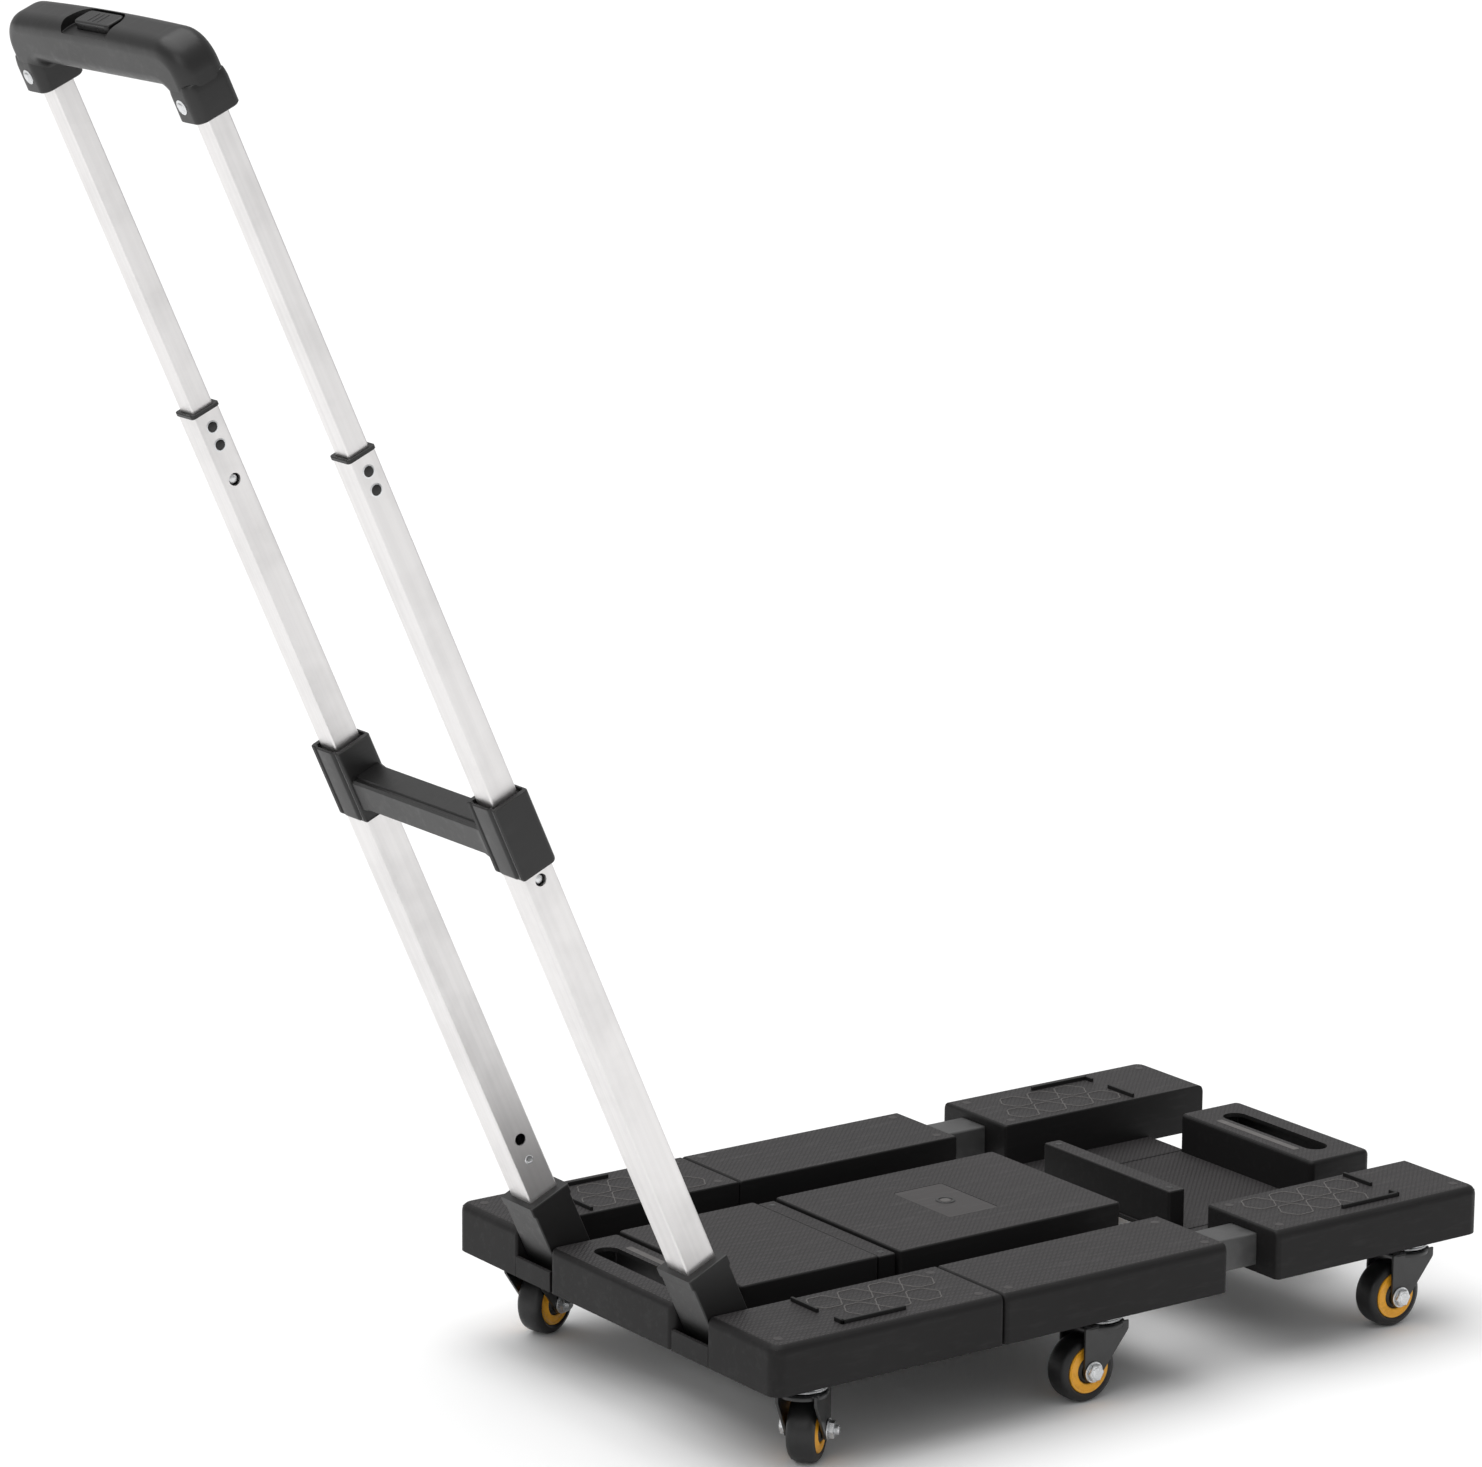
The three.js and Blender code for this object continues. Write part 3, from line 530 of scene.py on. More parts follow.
# ---------------------------------------------------------------- outlines
def arc(centre: tuple[float, float], radius: float, start: float, end: float,
        steps: int) -> Outline:
    """Points along an arc.

    Args:
        centre: The arc's centre.
        radius: Its radius.
        start: Angle of the first point, in degrees.
        end: Angle of the last point, in degrees.
        steps: Number of spaces between the points.

    Returns:
        The points, both ends included.
    """
    angles = [math.radians(start + (end - start) * i / steps) for i in range(steps + 1)]
    return [(centre[0] + radius * math.cos(a), centre[1] + radius * math.sin(a)) for a in angles]


def rounded_rectangle(low: tuple[float, float], high: tuple[float, float],
                      radii: Sequence[float], steps: int = 4) -> Outline:
    """A rectangle with its own radius at each corner.

    Args:
        low: The low corner.
        high: The high corner.
        radii: Corner radii, anticlockwise from the low corner.
        steps: Spaces in each corner's arc.

    Returns:
        The points, anticlockwise.
    """
    corners = [(low[0], low[1], 1, 1), (high[0], low[1], -1, 1),
               (high[0], high[1], -1, -1), (low[0], high[1], 1, -1)]
    points: Outline = []
    for i, ((x, y, sx, sy), radius) in enumerate(zip(corners, radii)):
        centre = (x + sx * radius, y + sy * radius)
        points += arc(centre, radius, 180 + 90 * i, 270 + 90 * i, steps)
    return points


def centred(width: float, height: float, radius: float, steps: int = 4) -> Outline:
    """A rectangle about the origin with equal round corners."""
    low, high = (-width / 2, -height / 2), (width / 2, height / 2)
    return rounded_rectangle(low, high, [radius] * 4, steps)


def inset(outline: Outline, distance: float) -> Outline:
    """Moves each point of an anticlockwise outline inwards.

    Args:
        outline: The points.
        distance: How far each side moves in.

    Returns:
        As many points as before.
    """
    moved: Outline = []
    count = len(outline)
    for i, (x, y) in enumerate(outline):
        before = Vector((x, y)) - Vector(outline[i - 1])
        after = Vector(outline[(i + 1) % count]) - Vector((x, y))
        if before.length < 1e-9 or after.length < 1e-9:
            before = after = before + after
        before.normalize()
        after.normalize()
        inward = Vector((-before.y - after.y, before.x + after.x))
        inward.normalize()
        lean = max(0.5, inward.dot(Vector((-before.y, before.x))))
        moved.append((x + inward.x * distance / lean, y + inward.y * distance / lean))
    return moved


def round_over(low: float, high: float, radius: float, steps: int) -> list[tuple[float, float]]:
    """Levels and insets of a slab whose two rims are rounded over.

    Args:
        low: The slab's first level.
        high: Its last level.
        radius: Radius of both rims.
        steps: Spaces in each rim.

    Returns:
        (level, inset) pairs from the first level to the last.
    """
    turns = [math.radians(90 * i / steps) for i in range(steps + 1)]
    rim = [(radius * (1 - math.cos(t)), radius * (1 - math.sin(t))) for t in turns]
    return [(low + d, s) for d, s in rim] + [(high - d, s) for d, s in reversed(rim)]


# ---------------------------------------------------------------- mesh building
@dataclass(frozen=True)
class TopEdges:
    """Radii along a block's top: at its low and high X ends and its low and high Y sides."""

    x0: float
    x1: float
    y0: float
    y1: float

    @classmethod
    def all(cls, radius: float) -> TopEdges:
        """The same radius all round."""
        return cls(radius, radius, radius, radius)

    def insets(self, below: float) -> tuple[float, float, float, float]:
        """How far each side stands in at a level that far below the top.

        Args:
            below: Depth below the top.

        Returns:
            The insets in the order x0, x1, y0, y1.
        """
        def stand(radius: float) -> float:
            """The inset of one side.

            Args:
                radius: The side's edge radius.

            Returns:
                The inset.
            """
            if below >= radius:
                return 0.0
            return radius - math.sqrt(max(0.0, radius**2 - (radius - below) ** 2))

        return stand(self.x0), stand(self.x1), stand(self.y0), stand(self.y1)

    def depths(self) -> list[float]:
        """Depths below the top where the block needs an outline, deepest first.

        Returns:
            The depths.
        """
        found = {0.0}
        for radius in {self.x0, self.x1, self.y0, self.y1}:
            found |= {round(radius * (1 - math.sin(math.radians(18 * i))), 7) for i in range(6)}
        return sorted(found, reverse=True)


class Form:
    """A mesh under construction, made of closed bodies that may run into each other."""

    def __init__(self) -> None:
        """Starts with nothing."""
        self.work = bmesh.new()

    def loft(self, rings: Sequence[Sequence[Sequence[float]]], closed: bool = False) -> Form:
        """Skins a row of outlines with as many points each, and caps both ends.

        Args:
            rings: The outlines, as points in space.
            closed: Whether the last outline joins the first one, with no caps.

        Returns:
            This form.
        """
        rows = [[self.work.verts.new(point) for point in ring] for ring in rings]
        pairs = list(zip(rows, rows[1:]))
        if closed:
            pairs.append((rows[-1], rows[0]))
        else:
            self.work.faces.new(rows[0])
            self.work.faces.new(rows[-1])
        for first, second in pairs:
            for i in range(len(first)):
                j = (i + 1) % len(first)
                self.work.faces.new((first[i], first[j], second[j], second[i]))
        return self

    def block(self, low: Sequence[float], high: Sequence[float], edges: TopEdges,
              corners: Sequence[float], wall: float = 0.0) -> Form:
        """Adds a block with round upright corners and rounded top edges.

        Args:
            low: Its low corner.
            high: Its high corner.
            edges: Radii of its top edges.
            corners: Radii of its upright corners, anticlockwise from the low corner.
            wall: Thickness of a shell that is open underneath, or 0 for a solid block.

        Returns:
            This form.
        """
        rings = []
        if wall:
            inner = rounded_rectangle((low[0] + wall, low[1] + wall),
                                      (high[0] - wall, high[1] - wall), [0.001] * 4)
            rings = [[(x, y, z) for x, y in inner] for z in (high[2] - wall, low[2])]
        for below in [high[2] - low[2], *edges.depths()]:
            x0, x1, y0, y1 = edges.insets(below)
            taken = [(x0 + y0) / 2, (x1 + y0) / 2, (x1 + y1) / 2, (x0 + y1) / 2]
            radii = [max(0.0003, radius - share) for radius, share in zip(corners, taken)]
            ring = rounded_rectangle((low[0] + x0, low[1] + y0), (high[0] - x1, high[1] - y1), radii)
            rings.append([(x, y, high[2] - below) for x, y in ring])
        return self.loft(rings)

    def slab(self, outline: Outline, low: float, high: float, edge: float,
             place: Callable[[float, float, float], Sequence[float]], steps: int = 3) -> Form:
        """Adds an outline raised from one level to another with both rims rounded over.

        Args:
            outline: The outline, anticlockwise.
            low: The first level.
            high: The last level.
            edge: Radius of the rims.
            place: Turns (u, v, level) into a point in space.
            steps: Spaces in each rim.

        Returns:
            This form.
        """
        rings = []
        for level, share in round_over(low, high, edge, steps):
            rings.append([place(u, v, level) for u, v in inset(outline, share)])
        return self.loft(rings)

    def lathe(self, profile: Outline, place: Matrix = STILL, steps: int = 40,
              closed: bool = False) -> Form:
        """Adds a body turned about Z.

        Args:
            profile: (radius, height) points.
            place: Where the body's own axes stand.
            steps: Flats round it.
            closed: Whether the profile closes on itself into a ring.

        Returns:
            This form.
        """
        angles = [2 * math.pi * i / steps for i in range(steps)]
        rings = [[place @ Vector((r * math.cos(a), r * math.sin(a), h)) for a in angles]
                 for r, h in profile]
        return self.loft(rings, closed)

    def bead(self, path: Sequence[Sequence[float]], radius: float, steps: int = 6) -> Form:
        """Adds a closed round bead along a level loop of points.

        Args:
            path: The loop's points.
            radius: The bead's radius.
            steps: Flats round the bead.

        Returns:
            This form.
        """
        points = [Vector(point) for point in path]
        up = Vector((0, 0, 1))
        rings = []
        for i, point in enumerate(points):
            along = points[(i + 1) % len(points)] - points[i - 1]
            across = along.cross(up).normalized()
            angles = [2 * math.pi * k / steps for k in range(steps)]
            rings.append([point + radius * (across * math.cos(a) + up * math.sin(a)) for a in angles])
        return self.loft(rings, closed=True)

    def add(self, other: Form, place: Matrix = STILL) -> Form:
        """Takes a copy of another form's bodies in, and returns this form.

        Args:
            other: The form to copy from.
            place: Where the copy is put.

        Returns:
            This form.
        """
        mesh = bpy.data.meshes.new("part")
        other.work.to_mesh(mesh)
        mesh.transform(place)
        self.work.from_mesh(mesh)
        bpy.data.meshes.remove(mesh)
        return self

    def carved(self, *cutters: Form) -> Form:
        """Cuts other forms' space out of this one.

        Args:
            cutters: The forms to cut with.

        Returns:
            A new form.
        """
        blank = self._temporary("blank")
        tools = [cutter._temporary("cutter") for cutter in cutters]
        for tool in tools:
            step = blank.modifiers.new("cut", "BOOLEAN")
            step.operation, step.solver, step.object = "DIFFERENCE", "EXACT", tool
        bpy.context.view_layer.update()
        result = Form()
        result.work.from_mesh(blank.evaluated_get(bpy.context.evaluated_depsgraph_get()).data)
        for used in [blank, *tools]:
            bpy.data.objects.remove(used)
        return result

    def _temporary(self, name: str) -> bpy.types.Object:
        """The form as a passing object that a cut can use.

        Args:
            name: Name of the object.

        Returns:
            The object, linked to the scene.
        """
        made = bpy.data.objects.new(name, self._mesh(name))
        bpy.context.scene.collection.objects.link(made)
        return made

    def _mesh(self, name: str) -> bpy.types.Mesh:
        """The form as a mesh whose faces look outwards.

        Args:
            name: Name of the mesh.

        Returns:
            The mesh.
        """
        bmesh.ops.recalc_face_normals(self.work, faces=self.work.faces)
        mesh = bpy.data.meshes.new(name)
        self.work.to_mesh(mesh)
        return mesh

    def piece(self, name: str, finish: Finish, body: str, place: Matrix = STILL,
              stands_for: Sequence[str] = (), crease: float = 38.0) -> bpy.types.Object:
        """Turns the form into a finished piece that rides on a body of the frame.

        Args:
            name: The piece's name.
            finish: Its finish.
            body: The body that it moves with.
            place: Where its own axes stand.
            stands_for: Nodes of the frame that it is shown instead of.
            crease: Edges that bend more than this many degrees stay sharp.

        Returns:
            The piece.
        """
        mesh = self._mesh(name)
        mesh.polygons.foreach_set("use_smooth", [True] * len(mesh.polygons))
        mesh.set_sharp_from_angle(angle=math.radians(crease))
        made = bpy.data.objects.new(name, mesh)
        bpy.context.scene.collection.objects.link(made)
        made.matrix_world = place
        even = made.modifiers.new("even shading", "WEIGHTED_NORMAL")
        even.keep_sharp = True
        mesh.materials.append(finish.material())
        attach(made, body)
        if stands_for:
            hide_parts(*stands_for)
        self.work.free()
        return made


def dress(node: str, finish: Finish, soften: float = 0.0) -> None:
    """Gives a node of the frame its finish, and soft edges that leave its mesh alone.

    Args:
        node: The node's name.
        finish: Its finish.
        soften: Width of the soft edges, or 0 for none.
    """
    made = frame["nodes"][node]
    made.data.materials.clear()
    made.data.materials.append(finish.material())
    if soften:
        made.modifiers.new("weld", "WELD").merge_threshold = 1e-5
        flat = made.modifiers.new("flat faces", "DECIMATE")
        flat.decimate_type, flat.angle_limit = "DISSOLVE", math.radians(1)
        bevel = made.modifiers.new("soft edges", "BEVEL")
        bevel.width, bevel.segments, bevel.limit_method = soften, 2, "ANGLE"
        bevel.angle_limit, bevel.harden_normals = math.radians(40), True


def level(u: float, v: float, height: float) -> tuple[float, float, float]:
    """Lays an outline flat."""
    return (u, v, height)


def across(u: float, v: float, depth: float) -> tuple[float, float, float]:
    """Stands an outline upright in X and Z, with its thickness along Y."""
    return (u, depth, v)


def facing(origin: Sequence[float], direction: Sequence[float]) -> Matrix:
    """Axes at a point whose Z looks in a direction."""
    turn = Vector(direction).to_track_quat("Z", "Y").to_matrix().to_4x4()
    return Matrix.Translation(origin) @ turn


def local_box(node: str, place: Matrix) -> tuple[Vector, Vector]:
    """A node's lowest and highest corners along its own axes.

    Args:
        node: The node's name.
        place: Where those axes stand.

    Returns:
        The two corners.
    """
    back = place.inverted()
    points = [back @ vertex.co for vertex in frame["nodes"][node].data.vertices]
    low = Vector([min(point[i] for point in points) for i in range(3)])
    high = Vector([max(point[i] for point in points) for i in range(3)])
    return low, high


def joint(name: str) -> dict[str, object]:
    """The frame's joint of that name."""
    return next(found for found in frame["joints"] if found["name"] == name)


# ---------------------------------------------------------------- deck
@dataclass(frozen=True)
class Deck:
    """Levels and widths that the deck's parts share, read off the frame."""

    bottom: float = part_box("front_section")[0].z
    top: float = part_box("middle_section")[1].z
    half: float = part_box("middle_section")[1].y
    centre_half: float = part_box("front_centre_panel")[1].y + 0.0005
    block_width: float = 0.080
    wall: float = 0.003
    broad: float = 0.0065
    crisp: float = 0.0012

    @property
    def floor(self) -> float:
        """Top of the channel floor."""
        return self.bottom + self.wall

    @property
    def inner(self) -> float:
        """The side blocks' inner faces."""
        return self.half - self.block_width

    def side_block(self, x0: float, x1: float, side: Side, radii: tuple[float, float]) -> Form:
        """A side block with its hollow underside.

        Args:
            x0: Its low end.
            x1: Its high end.
            side: The side of the deck.
            radii: Radii of the top edge and of the outer corner at the low end, the high end
                being a seam.

        Returns:
            The block.
        """
        end_edge, end_corner = radii
        seam = 0.0025
        y0, y1 = sorted((side.value * self.inner, side.value * self.half))
        edges = TopEdges(end_edge, seam, self.crisp, self.broad)
        corners = (0.002, 0.002, 0.004, end_corner)
        if side is Side.RIGHT:
            edges = TopEdges(end_edge, seam, self.broad, self.crisp)
            corners = corners[::-1]
        form = Form().block((x0, y0, self.bottom), (x1, y1, self.top), edges, corners, self.wall)
        for share in (0.3, 0.5, 0.7):
            x = x0 + (x1 - x0) * share
            rib = TopEdges.all(0.0002)
            form.block((x - 0.001, y0 + 0.002, self.bottom + 0.012),
                       (x + 0.001, y1 - 0.002, self.top - 0.002), rib, [0.0003] * 4)
        return form

    def caster_seat(self, x: float, side: Side) -> Form:
        """The floor under a side block that a caster's plate is screwed to, and its rib.

        Args:
            x: Where the caster stands, along the deck.
            side: The side it stands on.

        Returns:
            The seat.
        """
        middle = side.value * (self.inner + self.block_width / 2)
        half = self.block_width / 2 - 0.0025
        edge = TopEdges.all(0.0003)
        form = Form().block((x - 0.036, middle - half, self.bottom),
                            (x + 0.036, middle + half, self.floor + 0.001), edge, [0.001] * 4)
        return form.block((x - 0.036, middle - 0.0015, self.bottom),
                          (x + 0.036, middle + 0.0015, self.top - 0.002), edge, [0.0005] * 4)


DECK_FRAME = Deck()


@dataclass
class EndSection:
    """The moulding at one end of the deck, laid out from its outer end at X = 0."""

    end: End
    length: float = 0.200
    outer_corner: float = 0.010
    bar_depth: float = 0.060
    bar_drop: float = 0.003
    slot_size: tuple[float, float] = (0.020, 0.112)
    wall_inset: float = 0.0015
    wall_depth: float = 0.0155
    wall_drop: float = 0.0025
    wall_clearance: float = 0.0025
    sill: float = 0.0155
    tray_start: float = 0.055
    rib_start: float = 0.068
    rib_height: float = 0.003
    cell_radius: float = 0.0125
    caster_inset: float = 0.047

    @property
    def body(self) -> str:
        """The body of the frame that the section belongs to."""
        return "deck" if self.end is End.FRONT else "rear_deck"

    @property
    def place(self) -> Matrix:
        """Where the section's own axes stand.

        Returns:
            The section's axes in the frame.
        """
        low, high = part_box(f"{self.end.value}_section")
        if self.end is End.FRONT:
            return Matrix.Translation((low.x, 0, 0))
        return Matrix.Translation((high.x, 0, 0)) @ Matrix.Rotation(math.pi, 4, "Z")

    def build(self) -> None:
        """Builds every piece of the section."""
        for side in Side:
            self.block(side)
            self.stop_ribs(side)
            self.cells(side)
        self.floor()
        self.hand_bar()
        self.cross_wall()
        self.screws()

    def put(self, form: Form, name: str, finish: Finish, stands_for: Sequence[str] = ()) -> None:
        """Sets one form down as a piece of the section.

        Args:
            form: The form, drawn along the section's own axes.
            name: The piece's name without the section's.
            finish: Its finish.
            stands_for: Nodes that it is shown instead of.
        """
        turned = Form().add(form, self.place)
        turned.piece(f"{self.end.value}_{name}", finish, self.body, STILL, stands_for)

    def block(self, side: Side) -> None:
        """Builds one side block, with the mouth that a slide rail runs into at the rear end.

        Args:
            side: The side to build.
        """
        deck = DECK_FRAME
        form = deck.side_block(0, self.length, side, (deck.broad, self.outer_corner))
        if self.end is End.REAR:
            low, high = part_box(f"{side.label}_slide_rail")
            y0, y1 = sorted((side.value * (abs(low.y) - 0.0004), side.value * (abs(high.y) + 0.0004)))
            mouth = Form().block((self.length - 0.012, y0, low.z - 0.0004),
                                 (self.length + 0.002, y1, high.z + 0.0004),
                                 TopEdges.all(0.0002), [0.0005] * 4)
            form = form.carved(mouth)
        form.add(deck.caster_seat(self.caster_inset, side))
        self.put(form, f"{side.label}_block", DECK, [f"{self.end.value}_section"])

    def stop_ribs(self, side: Side) -> None:
        """Builds the L-shaped stop rib on a side block and the short rib in line with it.

        Args:
            side: The side to build.
        """
        deck, x0 = DECK_FRAME, self.rib_start
        outer, thick = deck.half - 0.015, 0.0025
        strips = [(x0, x0 + 0.056, outer - thick, outer), (x0, x0 + thick, outer - 0.010, outer),
                  (x0, x0 + thick, deck.inner + 0.004, deck.inner + 0.035)]
        form = Form()
        for xa, xb, ya, yb in strips:
            low_y, high_y = sorted((side.value * ya, side.value * yb))
            form.block((xa, low_y, deck.top - 0.001), (xb, high_y, deck.top + self.rib_height),
                       TopEdges.all(0.0005), [0.0006] * 4)
        self.put(form, f"{side.label}_stop_ribs", RIB)

    def cells(self, side: Side) -> None:
        """Builds the faint raised loops beside a stop rib, in two staggered rows, coloured pale grey as a
        painted highlight.

        Args:
            side: The side to build.
        """
        deck, pitch = DECK_FRAME, 2.16 * self.cell_radius
        form = Form()
        for row, count in enumerate((4, 3)):
            y = side.value * (deck.inner + 0.020 + 0.026 * row)
            for i in range(count):
                x = self.rib_start + 0.018 + pitch * (i + row / 2)
                loop = []
                for k in range(48):
                    angle = 2 * math.pi * k / 48
                    radius = self.cell_radius * (1 + 0.055 * math.cos(6 * angle))
                    loop.append((x + radius * math.cos(angle), y + radius * math.sin(angle),
                                 deck.top - 0.0001))
                form.bead(loop, 0.0007)
        # Pale grey loops: painted highlight along their crests.
        self.put(form, f"{side.label}_tread_loops", STRIP)

    def floor(self) -> None:
        """Builds the channel floor, and the low wall under the handle at the front end."""
        deck = DECK_FRAME
        edge, sharp = TopEdges.all(0.0003), [0.0004] * 4
        start = self.tray_start if self.end is End.REAR else self.bar_depth - 0.001
        form = Form().block((start, -deck.centre_half - 0.001, deck.bottom),
                            (self.length, deck.centre_half + 0.001, deck.floor), edge, sharp)
        for side in Side:
            y0, y1 = sorted((side.value * (deck.centre_half - 0.001), side.value * (deck.inner + 0.001)))
            first = self.tray_start if self.end is End.REAR else 0.001
            form.block((first, y0, deck.bottom), (self.length, y1, deck.floor), edge, sharp)
            if self.end is End.FRONT:
                form.block((0, y0, deck.bottom), (deck.wall, y1, deck.bottom + self.sill),
                           TopEdges.all(0.0008), sharp)
        self.put(form, "floor", DECK)

    def slot(self, grow: float, z0: float, z1: float, edge: float) -> Form:
        """The hand slot as a solid.

        Args:
            grow: How far it is larger than the slot all round.
            z0: Its bottom.
            z1: Its top.
            edge: Radius of its rims.

        Returns:
            The solid.
        """
        width, length = self.slot_size[0] + 2 * grow, self.slot_size[1] + 2 * grow
        outline = [(x + self.bar_depth / 2, y) for x, y in centred(width, length, width / 2, 12)]
        return Form().slab(outline, z0, z1, edge, level)

    def hand_bar(self) -> None:
        """Builds the raised bar with the hand slot and the smooth strip beside the slot."""
        deck = DECK_FRAME
        top = deck.top - self.bar_drop
        half = deck.centre_half
        bar = Form().block((0, -half, deck.bottom), (self.bar_depth, half, top),
                           TopEdges(0.005, 0.003, 0.003, 0.003), [0.006, 0.004, 0.004, 0.006], deck.wall)
        bar = bar.carved(self.slot(0.0, deck.bottom - 0.001, top + 0.001, 0.0002))
        sleeve = self.slot(0.0025, deck.bottom, top - 0.0006, 0.0003)
        bar.add(sleeve.carved(self.slot(0.0, deck.bottom - 0.001, top + 0.001, 0.0002)))
        self.put(bar, "hand_bar", DECK)
        strip = Form().block((self.bar_depth - 0.0155, -0.046, top - 0.001),
                             (self.bar_depth - 0.0095, 0.046, top + 0.0002),
                             TopEdges.all(0.0002), [0.001] * 4)
        self.put(strip, "hand_bar_strip", STRIP)

    def cross_wall(self) -> None:
        """Builds the low wall across the section's inner end."""
        deck = DECK_FRAME
        x0 = self.length - self.wall_inset - self.wall_depth
        half = deck.centre_half - self.wall_clearance
        form = Form().block((x0, -half, deck.bottom), (x0 + self.wall_depth, half, deck.top - self.wall_drop),
                            TopEdges.all(0.0012), [0.002] * 4, deck.wall)
        self.put(form, "cross_wall", DECK)

    def screws(self) -> None:
        """Builds the small countersunk screws in the cross wall and the sinks on the blocks."""
        deck = DECK_FRAME
        x = self.length - self.wall_inset - self.wall_depth / 2
        top = deck.top - self.wall_drop
        heads, sinks = Form(), Form()
        for side in Side:
            profile = [(0.0026, -0.001), (0.0026, 0.0001), (0.0019, 0.0004), (0.0006, 0.00035)]
            heads.lathe(profile, Matrix.Translation((x, side.value * 0.066, top)), 20)
            for along, off in ((self.length - 0.013, 0.066), (self.length - 0.013, 0.010),
                               (0.014, 0.064)):
                spot = (along, side.value * (deck.inner + off), deck.top)
                sinks.lathe([(0.0034, -0.001), (0.0034, 0.0001), (0.003, 0.0002)],
                            Matrix.Translation(spot), 24)
        self.put(heads, "cross_wall_screws", FORK)
        self.put(sinks, "gate_marks", BADGE)


@dataclass
class MiddleSection:
    """The moulding between the two end sections."""

    low: Vector = field(default_factory=lambda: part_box("middle_section")[0])
    high: Vector = field(default_factory=lambda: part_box("middle_section")[1])

    def build(self) -> None:
        """Builds both side blocks with their rail mouths, and the floor."""
        deck = DECK_FRAME
        for side in Side:
            form = deck.side_block(self.low.x, self.high.x, side, (0.0025, 0.004))
            low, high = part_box(f"{side.label}_slide_rail")
            mouth = Form().block((self.high.x - 0.012, low.y - 0.0004, low.z - 0.0004),
                                 (self.high.x + 0.002, high.y + 0.0004, high.z + 0.0004),
                                 TopEdges.all(0.0002), [0.0005] * 4)
            seat = (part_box(f"caster_middle_{side.label}_plate")[0].x
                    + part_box(f"caster_middle_{side.label}_plate")[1].x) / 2
            form = form.carved(mouth).add(deck.caster_seat(seat, side))
            form.piece(f"middle_{side.label}_block", DECK, "deck", STILL, ["middle_section"])
            mark = Form()
            spots = ((self.high.x - 0.012, 0.067), (self.low.x + 0.012, 0.067), (self.high.x - 0.012, 0.011))
            for x, off in spots:
                place = Matrix.Translation((x, side.value * (deck.inner + off), deck.top))
                mark.lathe([(0.0034, -0.001), (0.0034, 0.0001), (0.003, 0.0002)], place, 24)
            mark.piece(f"middle_{side.label}_gate_marks", BADGE, "deck")
        floor = Form().block((self.low.x, -deck.inner - 0.001, deck.bottom),
                             (self.high.x, deck.inner + 0.001, deck.floor),
                             TopEdges.all(0.0003), [0.0004] * 4)
        floor.piece("middle_floor", RIB, "deck")


@dataclass
class TreadPanels:
    """The two panels between the channels, and the blank badge plate in the second one."""

    edge: float = 0.0015
    corner: float = 0.003
    wall: float = 0.003
    recess: float = 0.0012

    def build(self) -> None:
        """Builds both panels and the badge plate."""
        low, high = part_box("badge_plate")
        for name in ("front_centre_panel", "middle_centre_panel"):
            panel_low, panel_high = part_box(name)
            form = Form().block(panel_low, panel_high, TopEdges.all(self.edge), [self.corner] * 4, self.wall)
            if name == "middle_centre_panel":
                room = 0.0003
                cutter = Form().block((low.x - room, low.y - room, low.z),
                                      (high.x + room, high.y + room, high.z + 0.002),
                                      TopEdges.all(0.0002), [0.003] * 4)
                form = form.carved(cutter)
            form.piece(f"{name}_tread", PANEL, "deck", STILL, [name])
        plate = Form().block(low, high, TopEdges.all(0.0004), [0.0027] * 4)
        plate.piece("badge_plate_face", BADGE, "deck", STILL, ["badge_plate"])
        centre = Vector(((low.x + high.x) / 2, 0, high.z))
        # The ring is darker than the plate: painted shade for the groove round the stud.
        ring = [(0.0076, -0.0004), (0.0076, 0.0002), (0.0069, 0.0005), (0.0059, 0.0005), (0.0052, 0.0002),
                (0.0052, -0.0004)]
        Form().lathe(ring, Matrix.Translation(centre), 40, True).piece("badge_ring", BUTTON, "deck")
        stud = [(0.0042, -0.0004), (0.0042, 0.0001), (0.0036, 0.0004), (0.0004, 0.0005)]
        Form().lathe(stud, Matrix.Translation(centre), 32).piece("badge_stud", STRIP, "deck")


@dataclass
class SlideRails:
    """The two grey rails that carry the rear section."""

    edge: float = 0.0018
    wall: float = 0.002

    def build(self) -> None:
        """Builds both rails as channels that are open underneath."""
        for side in Side:
            name = f"{side.label}_slide_rail"
            low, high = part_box(name)
            edges = TopEdges(0.0003, 0.0003, self.edge, self.edge)
            form = Form().block(low, high, edges, [0.0004] * 4, self.wall)
            form.piece(f"{name}_bar", RAIL, "rear_deck", STILL, [name])


# ---------------------------------------------------------------- handle
def handle_axes() -> Matrix:
    """Axes at the handle's pivot: Z up along the tubes, X to the rear and Y across.

    Returns:
        The axes in the frame.
    """
    up = -Vector(joint("middle_stage")["axis"])
    across_axis = Vector((0, 1, 0))
    forward = across_axis.cross(up)
    turn = Matrix((forward, across_axis, up)).transposed().to_4x4()
    return Matrix.Translation(joint("handle_fold")["pos_m"]) @ turn


HANDLE_AXES = handle_axes()


def square_tube(size: float, wall: float, low: float, high: float, y: float) -> Form:
    """A length of square tube with soft corners and an open bore.

    Args:
        size: Its outer width.
        wall: Its wall.
        low: Its lower end.
        high: Its upper end.
        y: Its place across the cart.

    Returns:
        The tube.
    """
    outer = centred(size, size, wall * 1.1)
    inner = centred(size - 2 * wall, size - 2 * wall, wall * 0.4)
    rings = [[(u, v + y, z) for u, v in ring]
             for ring, z in ((outer, low), (outer, high), (inner, high), (inner, low))]
    return Form().loft(rings, closed=True)


